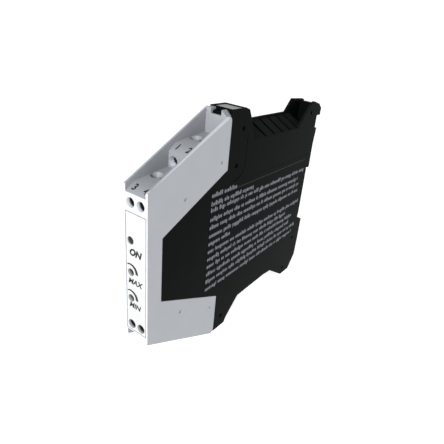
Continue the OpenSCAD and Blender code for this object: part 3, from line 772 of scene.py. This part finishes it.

# %% [markdown]
# ## Light on the slats
# The sloping slats of the vent catch the sky and show as fine lighter lines. A lamp for them alone
# would light the rest as well, so they get the same mark as the rounded edges, a painted highlight.

# %% Slats of the vent
VENT_START = 55 * MM
VENT_END = 118 * MM
VENT_FOOT = 30 * MM
slat_faces = 0
# slat faces get the rim mark, a painted highlight
for face in near_shell.data.polygons:
    along = from_front(face.center)[0]
    in_vent = VENT_START < along < VENT_END and face.center.z > object_centre.z + VENT_FOOT
    if in_vent and abs(face.center.x) < CHANNEL_REACH and face.normal.z > 0.2:
        slat_faces += 1
        near_shell.data.attributes["rim"].data[face.index].value = 1
print("slat faces:", slat_faces)

# %% [markdown]
# ## The lip round the marking plate
# On top of the block a low black lip holds the marking plate on all four sides. Four bars would
# meet in seams at the corners, so it is a plane whose middle is inset and taken out. The frame that
# is left is raised, and its upper edges are rounded.

# %% Marking lip
plate_low, plate_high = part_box("marking_plate")
LIP_HEIGHT = 0.45 * MM
LIP_WIDTH = 0.85 * MM


def thicken(offset):
    select_all()
    bpy.ops.mesh.extrude_region_move(TRANSFORM_OT_translate={"value": offset})
    face_outwards()


def add_frame(name, size, middle, tilt, width, offset):
    bench_clear()
    bpy.ops.mesh.primitive_plane_add(size=1, location=middle, rotation=(tilt, 0, 0))
    border = bpy.context.object
    border.name = name
    border.scale = (*size, 1)
    settle(border)
    pick(border, "FACE", lambda face: True)
    bpy.ops.mesh.inset(thickness=width)
    bpy.ops.mesh.delete(type="FACE")
    thicken(offset)
    bench_clear()
    return border


marking_lip = add_frame(
    "marking_lip", (12.3 * MM, plate_high.y - plate_low.y + 2 * LIP_WIDTH),
    (0, (plate_low.y + plate_high.y) / 2, plate_high.z), 0, LIP_WIDTH, (0, 0, LIP_HEIGHT))


def on_lip_top(edge):
    top = plate_high.z + 0.4 * MM
    return all(marking_lip.data.vertices[i].co.z > top for i in edge.vertices)


print("lip edges:", pick(marking_lip, "EDGE", on_lip_top))
bpy.ops.mesh.bevel(offset=0.12 * MM, segments=2, affect="EDGES")
bench_clear()
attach(marking_lip, "root")

# %% [markdown]
# ## Tools for the finishes
# Every finish is a Principled shader with small noises on it. Pictures of plastic and metal could
# be wrapped round the pieces, but a noise needs no unwrapping and has no seams. All noises read
# Object coordinates, so they stay on the piece when it moves.

# %% Noise, range, tones and bump
def new_finish(name, roughness, specular, metallic=0.0):
    finish = bpy.data.materials.new(name)
    finish.use_nodes = True
    shader = finish.node_tree.nodes["Principled BSDF"]
    set_inputs(shader, {
        "Roughness": roughness, "Specular IOR Level": specular, "Metallic": metallic})
    return finish, finish.node_tree, shader


def add_noise(tree, size, detail=2.0, stretch=(1, 1, 1)):
    place = add_node(tree, "TexCoord")
    scaled = add_node(tree, "Mapping")
    noise = add_node(tree, "TexNoise")
    set_inputs(scaled, {"Scale": stretch})
    set_inputs(noise, {"Scale": 1 / size, "Detail": detail})
    link(place.outputs["Object"], scaled.inputs["Vector"])
    link(scaled.outputs["Vector"], noise.inputs["Vector"])
    return noise.outputs["Fac"]


def add_range(tree, source, low, high, start=0.3, end=0.7):
    span = add_node(tree, "MapRange")
    set_inputs(span, {"From Min": start, "From Max": end, "To Min": low, "To Max": high})
    link(source, span.inputs["Value"])
    return span.outputs["Result"]


def add_tones(tree, source, darker, lighter, start=0.3, end=0.7):
    ramp = add_node(tree, "ValToRGB")
    for stop, place, tone in zip(ramp.color_ramp.elements, (start, end), (darker, lighter)):
        stop.position = place
        stop.color = (*tone, 1)
    link(source, ramp.inputs["Fac"])
    return ramp.outputs["Color"]


def add_bump(tree, shader, source, depth, strength):
    bump = add_node(tree, "Bump")
    set_inputs(bump, {"Distance": depth, "Strength": strength})
    link(source, bump.inputs["Height"])
    link(bump.outputs["Normal"], shader.inputs["Normal"])


# %% [markdown]
# ## Reading the marks
# The shells and the cover carry the rim mark, a painted highlight, and the cover the shade level
# too, painted light and shade. A material for each level would cut the mesh in patches. Instead one
# ramp turns the level into a factor for the colour, and the rim mark multiplies it.

# %% Painted shade and highlight in a moulding
STRONGEST = 2.4
LEVELS = (-1, 0, 0.9, 1.8, 2.0, 2.25, 2.46, 3)
FACTORS = (0.70, 1, 1.55, 1.55, STRONGEST, STRONGEST, 0.05, 0.05)


def add_steps(tree):
    ramp = add_node(tree, "ValToRGB")
    stops = ramp.color_ramp.elements
    for level in LEVELS[1:-1]:
        stops.new((level - LEVELS[0]) / (LEVELS[-1] - LEVELS[0]))
    for stop, factor in zip(stops, FACTORS):
        stop.color = (*[factor / STRONGEST] * 3, 1)
    return ramp


def add_rim(tree, tones, gain):
    # the rim mark adds a painted highlight, the shade level painted light and shade
    rim = add_node(tree, "Attribute")
    rim.attribute_name = "rim"
    shade = add_node(tree, "Attribute")
    shade.attribute_name = "shade"
    steps = add_steps(tree)
    place_on_ramp = add_range(tree, shade.outputs["Fac"], 0, 1, LEVELS[0], LEVELS[-1])
    link(place_on_ramp, steps.inputs["Fac"])
    total = add_node(tree, "Math")
    total.operation = "MULTIPLY"
    highlight_factor = add_range(tree, rim.outputs["Fac"], STRONGEST, STRONGEST * gain, 0, 1)
    link(highlight_factor, total.inputs[0])
    link(steps.outputs["Color"], total.inputs[1])
    brighter = add_node(tree, "VectorMath")
    brighter.operation = "SCALE"
    link(tones, brighter.inputs["Vector"])
    link(total.outputs["Value"], brighter.inputs["Scale"])
    return brighter.outputs["Vector"]


print("stops of the shade ramp:", len(LEVELS))

# %% [markdown]
# ## Moulded plastics
# Three mouldings meet here: matt black shells, a satin light grey cover and a dark grey latch.
# A spark-eroded tool leaves a grain of about a quarter of a millimetre. To model it would take
# millions of faces, so a small noise gives it as bump and as a change of roughness. A larger, much
# weaker noise varies the tone, because no moulding is perfectly even. Black matt plastic mirrors
# very little, so its specular level is low.

# %% A moulding's finish
def moulding(name, colour, roughness, specular, grain, strength, unevenness, highlight_gain=1.0):
    finish, tree, shader = new_finish(name, roughness, specular)
    cloud = add_noise(tree, 14 * MM)
    darker, lighter = ([part * (1 + step) for part in colour] for step in (-unevenness, unevenness))
    tones = add_tones(tree, cloud, darker, lighter)
    link(add_rim(tree, tones, highlight_gain), shader.inputs["Base Color"])
    spark = add_noise(tree, grain, detail=3.0)
    link(add_range(tree, spark, roughness - 0.06, roughness + 0.06), shader.inputs["Roughness"])
    add_bump(tree, shader, spark, 0.05 * MM, strength)
    return finish


FINISHES = {}
FINISHES["black_plastic"] = moulding(
    "black_moulding", (0.0030, 0.0040, 0.0038), 0.50, 0.02, 0.28 * MM, 0.30, 0.10, 2.2)
FINISHES["light_plastic"] = moulding(
    "light_grey_moulding", (0.345, 0.362, 0.388), 0.42, 0.30, 0.35 * MM, 0.10, 0.02, 1.35)
FINISHES["grey_plastic"] = moulding(
    "dark_grey_moulding", (0.055, 0.057, 0.062), 0.45, 0.30, 0.3 * MM, 0.2, 0.06)
FINISHES["trimmer_plastic"] = moulding(
    "trimmer_blue", (0.03, 0.10, 0.42), 0.35, 0.45, 0.4 * MM, 0.05, 0.04)
FINISHES["chip_case"] = moulding(
    "chip_epoxy", (0.018, 0.018, 0.019), 0.55, 0.3, 0.12 * MM, 0.35, 0.12)
FINISHES["ferrite"] = moulding(
    "sintered_ferrite", (0.065, 0.065, 0.07), 0.62, 0.35, 0.18 * MM, 0.5, 0.15)
print("mouldings:", sorted(FINISHES))

# %% [markdown]
# ## Printed films
# The front plate and the marking plate are smooth white plastic, a little glossier than the cover,
# and the side carries a thin black film that takes white print. On a film the grain is much finer
# and shallower than on a moulding, and a slow noise gives the slight waviness of a glued sheet.

# %% White plate and black film
def film(name, colour, roughness, specular, wave):
    finish, tree, shader = new_finish(name, roughness, specular)
    slow = add_noise(tree, 9 * MM, detail=1.0)
    darker = [part * 0.97 for part in colour]
    link(add_tones(tree, slow, darker, colour), shader.inputs["Base Color"])
    fine = add_noise(tree, 0.12 * MM)
    link(add_range(tree, fine, roughness - 0.04, roughness + 0.05), shader.inputs["Roughness"])
    add_bump(tree, shader, slow, 0.2 * MM, wave)
    return finish


FINISHES["white_plastic"] = film("white_plate", (0.51, 0.513, 0.516), 0.30, 0.4, 0.03)
FINISHES["marking_grey"] = film("grey_plate", (0.285, 0.295, 0.31), 0.38, 0.3, 0.03)
FINISHES["printed_label"] = film("black_film", (0.0028, 0.0036, 0.0040), 0.50, 0.02, 0.03)
FINISHES["can_sleeve"] = film("can_sleeve_blue", (0.02, 0.035, 0.15), 0.28, 0.5, 0.05)
print("finishes with the films:", len(FINISHES))

# %% [markdown]
# ## Metals
# The screws and cages are zinc plated steel, the contact bars are tinned, the rotors are dull brass
# and the spring is drawn wire. The screws look dark in the photograph, so their zinc is darkened
# almost to black, a painted shade for the shadow deep in their holes, and the brass of the rotors
# is darkened as painted shade too. Each metal has a grain drawn out along the way it was made.
# Anisotropy could do it, but a noise squeezed along one axis gives fine lines that also show from
# close by.

# %% Plated, drawn and turned metal
SPOTS = 0.12


def metal(name, colour, roughness, grain, stretch, strength):
    finish, tree, shader = new_finish(name, roughness, 0.5, 1.0)
    blotch = add_noise(tree, 0.9 * MM, detail=3.0)
    darker = [part * (1 - SPOTS) for part in colour]
    link(add_tones(tree, blotch, darker, colour), shader.inputs["Base Color"])
    lines = add_noise(tree, grain, stretch=stretch)
    link(add_range(tree, lines, roughness - 0.07, roughness + 0.10), shader.inputs["Roughness"])
    add_bump(tree, shader, lines, 0.02 * MM, strength)
    return finish


FINISHES["plated_steel"] = metal(
    "zinc_plate", (0.62, 0.62, 0.60), 0.34, 0.15 * MM, (1, 0.15, 1), 0.25)
# the screws' near-black zinc is a painted shade for the bottom of their holes
FINISHES["shaded_screw_steel"] = metal(
    "shaded_zinc", (0.02, 0.02, 0.021), 0.50, 0.15 * MM, (1, 0.15, 1), 0.25)
FINISHES["tinned_brass"] = metal(
    "tinned_strip", (0.72, 0.70, 0.64), 0.34, 0.2 * MM, (1, 1, 0.12), 0.20)
# real brass, its colour darkened as a painted shade for the rotor deep in its hole
FINISHES["brass"] = metal(
    "shaded_brass", (0.075, 0.066, 0.05), 0.50, 0.12 * MM, (1, 0.1, 1), 0.25)
FINISHES["spring_steel"] = metal(
    "spring_wire", (0.55, 0.55, 0.57), 0.25, 0.1 * MM, (1, 1, 1), 0.15)
print("finishes with the metals:", len(FINISHES))

# %% [markdown]
# ## Enamelled copper
# The winding is one long enamelled wire whose turns lie side by side. Modelled turns would be
# hidden in the housing, so a band pattern gives both the lines and their bump.

# %% Winding
WIRE_STEP = 0.9 * MM
DEEP_COPPER, BRIGHT_COPPER = (0.22, 0.07, 0.02), (0.62, 0.27, 0.10)
finish, tree, shader = new_finish("enamelled_copper", 0.3, 0.5, 1.0)
place = add_node(tree, "TexCoord")
turns = add_node(tree, "TexWave")
turns.bands_direction = "Y"
set_inputs(turns, {"Scale": 1 / WIRE_STEP, "Distortion": 0.4})
link(place.outputs["Object"], turns.inputs["Vector"])
tones = add_tones(tree, turns.outputs["Fac"], DEEP_COPPER, BRIGHT_COPPER, 0.1, 0.8)
link(tones, shader.inputs["Base Color"])
add_bump(tree, shader, turns.outputs["Fac"], 0.08 * MM, 0.8)
FINISHES["copper"] = finish
print("turns of wire per centimetre:", round(10 * MM / WIRE_STEP))

# %% [markdown]
# ## The circuit board
# The board is green solder mask over copper tracks. Real tracks could be drawn as curves, but the
# board is hardly seen. So a brick pattern in the board's own plane stands for the runs of track,
# slightly lighter and raised, and a cell pattern puts a tinned pad here and there.

# %% Solder mask
TRACK_STEP = 6 * MM
PAD_STEP = 4 * MM
finish, tree, shader = new_finish("green_solder_mask", 0.32, 0.5)
place = add_node(tree, "TexCoord")
flat = add_node(tree, "Mapping")
tracks = add_node(tree, "TexBrick")
pads = add_node(tree, "TexVoronoi")
set_inputs(flat, {"Rotation": (0, math.radians(90), 0)})
set_inputs(tracks, {
    "Scale": 1 / TRACK_STEP, "Mortar Size": 0.06, "Color1": (0.018, 0.12, 0.045, 1),
    "Color2": (0.014, 0.10, 0.038, 1), "Mortar": (0.04, 0.22, 0.09, 1)})
set_inputs(pads, {"Scale": 1 / PAD_STEP, "Randomness": 0.35})
pad_mask = add_range(tree, pads.outputs["Distance"], 1.0, 0.0, 0.14, 0.16)
colours = add_node(tree, "Mix")
colours.data_type = "RGBA"
colours.inputs["B"].default_value = (0.62, 0.60, 0.52, 1)
link(place.outputs["Object"], flat.inputs["Vector"])
link(flat.outputs["Vector"], tracks.inputs["Vector"])
link(flat.outputs["Vector"], pads.inputs["Vector"])
link(pad_mask, colours.inputs["Factor"])
link(pad_mask, shader.inputs["Metallic"])
link(tracks.outputs["Color"], colours.inputs[6])
link(colours.outputs[2], shader.inputs["Base Color"])
add_bump(tree, shader, tracks.outputs["Fac"], 0.05 * MM, 0.5)
FINISHES["board"] = finish
print("nodes of the board's finish:", len(tree.nodes))

# %% [markdown]
# ## The lamp's resin
# The lamp is cast in tinted resin and isn't lit. Fully clear resin would show the black housing
# behind it, so a dark colour with a little transmission and a thin coat comes closest.

# %% Lamp resin
finish, tree, shader = new_finish("tinted_resin", 0.30, 0.12)
depth = add_noise(tree, 1.5 * MM, detail=1.0)
tones = add_tones(tree, depth, (0.004, 0.007, 0.005), (0.008, 0.014, 0.009))
link(tones, shader.inputs["Base Color"])
set_inputs(shader, {"Transmission Weight": 0.15, "Coat Weight": 0.05})
FINISHES["lamp_lens"] = finish
print("finishes:", len(FINISHES))

# %% [markdown]
# ## Dressing the frame
# The record names the finish of each piece, and only the marking plate and the screws are dressed
# darker, as in the photograph; the screws' darker zinc is a painted shade. One table is easier to
# check than an assignment beside each piece.
# Every piece of the frame gets its finish in the slots that it already has, and the new pieces are
# dressed by the same names.

# %% Finish for every piece
PIECE_FINISH = {
    "black_plastic": ["base_shell", "side_cover"],
    "light_plastic": ["front_cover"],
    "white_plastic": ["front_label"],
    "marking_grey": ["marking_plate"],
    "printed_label": ["side_label"],
    "board": ["circuit_board"],
    "ferrite": ["isolation_transformer"],
    "copper": ["transformer_winding"],
    "can_sleeve": ["filter_capacitors"],
    "chip_case": ["converter_chips"],
    "lamp_lens": ["power_lamp"],
    "trimmer_plastic": ["span_trimmer_body", "zero_trimmer_body"],
    "brass": ["span_trimmer_rotor", "zero_trimmer_rotor"],
    "grey_plastic": ["rail_latch"],
    "spring_steel": ["latch_spring"],
    "plated_steel": [
        f"{part}_{n}" for part in ("terminal_screw", "clamp_cage") for n in range(1, 9)],
    "tinned_brass": [f"contact_bar_{n}" for n in range(1, 9)],
}


def dress(piece, finish_name):
    if not piece.data.materials:
        piece.data.materials.append(FINISHES[finish_name])
    for slot in piece.material_slots:
        slot.material = FINISHES[finish_name]


dressed = 0
for finish_name, nodes in PIECE_FINISH.items():
    for node in nodes:
        dress(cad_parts[node], finish_name)
        dressed += 1
for piece, finish_name in (
        [(screw, "shaded_screw_steel") for screw in screws]
        + [(span_rotor, "brass"), (zero_rotor, "brass"), (lamp, "lamp_lens"),
           (near_shell, "black_plastic"), (far_shell, "black_plastic"),
           (marking_lip, "black_plastic"), (coil, "spring_steel"),
           (light_cover, "light_plastic")]):
    dress(piece, finish_name)
print("pieces of the frame dressed:", dressed, "of", len(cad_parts))

# %% [markdown]
# ## Inks
# Pad-printed ink is matt and never quite even, so a fine speckle varies its tone. Print could be a
# picture on the plate, but thin solid ink stays sharp from close by and can be moved.

# %% Inks
def ink_finish(name, colour, roughness):
    finish, tree, shader = new_finish(name, roughness, 0.3)
    speckle = add_noise(tree, 0.2 * MM)
    darker = [part * 0.8 for part in colour]
    link(add_tones(tree, speckle, darker, colour), shader.inputs["Base Color"])
    return finish


black_ink = ink_finish("black_ink", (0.012, 0.012, 0.014), 0.5)
# gap_shadow is no ink: a painted shadow for the gap round the plate
gap_shadow = ink_finish("gap_shadow", (0.012, 0.012, 0.013), 0.8)
white_ink = ink_finish("white_ink", (0.155, 0.168, 0.188), 0.55)
yellow_ink = ink_finish("yellow_ink", (0.07, 0.06, 0.02), 0.55)
print("inks:", [ink.name for ink in (black_ink, gap_shadow, white_ink, yellow_ink)])

# %% [markdown]
# ## Print on the front
# The front carries a few small marks in black ink: a plain word under the lamp and under each
# trimmer. Letters could be cut from a plane, but a text object already knows their shapes. It is
# made bold and slanted, given the thickness of ink and turned into a mesh before it is set on the
# plate. The ink lies two hundredths of a millimetre proud.

# %% Lettering
INK = 0.04 * MM
CAPITAL = 0.72
SLANT = 0.25
FRONT_Y = cad_box[0][1]
MID_Z = (cad_box[0][2] + cad_box[1][2]) / 2


def finish_print(piece, ink):
    settle(piece)
    piece.data.materials.clear()
    piece.data.materials.append(ink)
    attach(piece, "root")


def letter(name, text, height, place, tilt=90, weight=0.12 * MM):
    bench_clear()
    bpy.ops.object.text_add(location=(0, 0, 0))
    word = bpy.context.object
    word.name = name
    word.data.body = text
    word.data.size = height / CAPITAL
    word.data.shear = SLANT
    word.data.offset = weight
    word.data.resolution_u = 4
    word.data.extrude = INK / 2
    word.data.align_x = "CENTER"
    word.data.align_y = "CENTER"
    bpy.ops.object.convert(target="MESH")
    word = bpy.context.object
    word.matrix_world = Matrix.Translation(place) @ Matrix.Rotation(math.radians(tilt), 4, "X")
    finish_print(word, black_ink)
    return word


words = [
    letter("word_on", "ON", 2.9 * MM, (-0.5 * MM, FRONT_Y, MID_Z + 7.1 * MM), weight=0.22 * MM),
    letter("word_max", "MAX", 2.5 * MM, (-0.7 * MM, FRONT_Y, MID_Z - 6.4 * MM)),
    letter("word_min", "MIN", 2.5 * MM, (-0.9 * MM, FRONT_Y, MID_Z - 18.1 * MM)),
]
print("words:", [size_of(word) for word in words])

# %% [markdown]
# ## The gap round the plate
# The white plate lies in a shallow recess, and the gap round it shows as a fine dark line. A real
# gap this fine would flicker in the picture, so its shadow is painted as a dark frame, made like
# the marking lip.

# %% Gap line
GAP_WIDTH = 0.24 * MM
low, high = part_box("front_label")
# the dark frame is a painted shadow in the gap round the plate
gap_shadow_line = add_frame(
    "plate_gap_shadow", (high.x - low.x, high.z - low.z),
    ((low.x + high.x) / 2, FRONT_Y - INK / 4, (low.z + high.z) / 2), math.radians(90),
    GAP_WIDTH, (0, INK / 2, 0))
finish_print(gap_shadow_line, gap_shadow)
print("gap line:", size_of(gap_shadow_line))

# %% [markdown]
# ## The curved wedges
# By each trimmer a wedge thickens the way the value grows: a crescent between two circles whose
# centres lie a little apart. A curve with a growing bevel would do, but two bridged circles give
# the true outline. Two planes cut the band, so that only its upper right part is left. A small
# extrusion gives the ink its thickness, and the second wedge is a copy.

# %% Wedge marks
span_middle = sum(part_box("span_trimmer_rotor"), Vector()) / 2
zero_middle = sum(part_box("zero_trimmer_rotor"), Vector()) / 2
WEDGE_OUTER = 4.05 * MM
WEDGE_INNER = 3.3 * MM
WEDGE_SHIFT = 0.65 * MM
WEDGE_TURN = math.radians(122)
CIRCLE_SIDES = 96
wedge_centre = Vector((span_middle.x, FRONT_Y - INK / 2, span_middle.z))
bench_clear()
add_circle(CIRCLE_SIDES, WEDGE_OUTER, wedge_centre)
wedge = bpy.context.object
wedge.name = "span_wedge"
settle(wedge)
switch("EDIT")
add_circle(CIRCLE_SIDES, WEDGE_INNER, wedge_centre - Vector((WEDGE_SHIFT, 0, 0)))
select_all()
bpy.ops.mesh.bridge_edge_loops()
for away in ((0, 0, 1), (math.sin(WEDGE_TURN), 0, -math.cos(WEDGE_TURN))):
    select_all()
    bpy.ops.mesh.bisect(plane_co=wedge_centre, plane_no=away, clear_inner=True)
thicken((0, INK, 0))
bench_clear()
zero_wedge = copy_to(wedge, "zero_wedge", zero_middle - span_middle)
for mark in (wedge, zero_wedge):
    finish_print(mark, black_ink)
print("wedge faces:", len(wedge.data.polygons), size_of(wedge))

# %% [markdown]
# ## Numbers on the ledges
# Each pole has its number on the small sloping ledge above its screw, one to four on top and five
# to eight below: slanted black figures that lie flat on the slope. The slope could be worked out
# from the drawing, but a ray dropped on the cover finds both the ledge and its tilt.

# %% Ledge numbers
FIGURE_HEIGHT = 2.8 * MM
LEDGE_PLACE = -2.2 * MM + 0.60 * 3.6 * MM
RAY_START = 12 * MM
numbers = []
for number in range(1, 9):
    low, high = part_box(f"terminal_screw_{number}")
    middle = (low + high) / 2
    upward = 1 if number <= 4 else -1
    aside = (0.3 if number % 2 == 0 else -0.2) * MM
    above = Vector((middle.x + aside, low.y + LEDGE_PLACE, middle.z + upward * RAY_START))
    found, place, normal, face = light_cover.ray_cast(above, (0, 0, -upward))
    ledge_tilt = math.degrees(math.atan2(-normal.y, normal.z))
    numbers.append(
        letter(f"number_{number}", str(number), FIGURE_HEIGHT, place, tilt=ledge_tilt))
    print(f"number {number}: ledge found {found}, tilt {ledge_tilt:.1f} degrees")

# %% [markdown]
# ## Rows of print on the side
# The side film carries rows of small white print. Its words aren't wanted here, so each row is made
# of plain strokes in groups, as a printer's dummy text is: low, tall and hanging ones of uneven
# width. One stroke is modelled, with its corners cut, and the others are scaled copies, joined into
# one piece for each row.

# %% One stroke
SIDE_X = cad_box[1][0]


def add_strip(name, thickness, length, cut, segments):
    bench_clear()
    bpy.ops.mesh.primitive_plane_add(size=1 * MM, rotation=(0, math.radians(90), 0))
    strip = bpy.context.object
    strip.name = name
    strip.scale = (thickness, length, 1)
    settle(strip)
    pick(strip, "VERT", lambda vertex: True)
    bpy.ops.mesh.bevel(offset=cut, segments=segments, affect="VERTICES")
    return strip


stroke = add_strip("stroke", 1, 1, 0.16 * MM, 1)
bench_clear()
print("stroke corners:", len(stroke.data.vertices))

# %% Laying a stroke
SIDE_MIDDLE = 68.6
ROW_ZERO = 90.4
BASE_DROP = 0.9
LOW, TALL, HANGING = (0.0, 1.6), (0.0, 2.3), (-0.7, 1.6)


def lay_stroke(along, width, row_height, foot, head):
    copied = bpy.data.objects.new("stroke", stroke.data.copy())
    scene.collection.objects.link(copied)
    middle = Vector((SIDE_X + INK, (along + width / 2 - SIDE_MIDDLE) * MM,
                     (row_height + ROW_ZERO - BASE_DROP + (foot + head) / 2) * MM))
    sized = Matrix.Diagonal((1, width, head - foot, 1))
    copied.data.transform(Matrix.Translation(middle) @ sized)
    return copied


print("row zero above the frame's zero:", ROW_ZERO, "mm")

# %% Thirteen rows
ROW_START = 36.4
ROW_ENDS = (
    (54.6, -8.8), (69.7, -12.9), (126.7, -16.0), (120.1, -20.6), (122.4, -24.6),
    (123.1, -29.0), (52.3, -33.0), (126.0, -37.2), (110.8, -41.3), (121.1, -45.4),
    (117.0, -49.7), (126.0, -54.0), (123.7, -58.4))
STROKE_GAP = 0.28
GROUP_GAP = 1.0
typist = random.Random(11)
rows = []
for row_number, (row_end, row_height) in enumerate(ROW_ENDS, start=1):
    along = ROW_START
    left_in_group = typist.randint(3, 8)
    row_strokes = []
    while along < row_end:
        width = typist.uniform(0.45, 1.25)
        shape = typist.random()
        form = TALL if shape < 0.22 else HANGING if shape < 0.32 else LOW
        row_strokes.append(lay_stroke(along, width, row_height, *form))
        along += width + STROKE_GAP
        left_in_group -= 1
        if left_in_group == 0:
            along += GROUP_GAP
            left_in_group = typist.randint(2, 10)
    row = join(row_strokes)
    row.name = f"print_row_{row_number}"
    finish_print(row, white_ink)
    rows.append(row)
bpy.data.objects.remove(stroke)
print("rows:", len(rows), "strokes:", sum(len(row.data.polygons) for row in rows))

# %% [markdown]
# ## A rule
# A thin yellow rule closes the print at the top, a plane with its corners cut like the strokes.

# %% Rule above the rows
RULE_MIDDLE, RULE_DROP = 91.5, 9.6
RULE_THICKNESS, RULE_LENGTH = 0.16, 71.0
rule = add_strip("print_rule", RULE_THICKNESS, RULE_LENGTH, 0.05 * MM, 2)
bpy.ops.transform.translate(
    value=(SIDE_X + INK, (RULE_MIDDLE - SIDE_MIDDLE) * MM, (ROW_ZERO - RULE_DROP) * MM))
bench_clear()
finish_print(rule, yellow_ink)
print("rule length:", round(rule.dimensions.y / MM, 1), "mm")
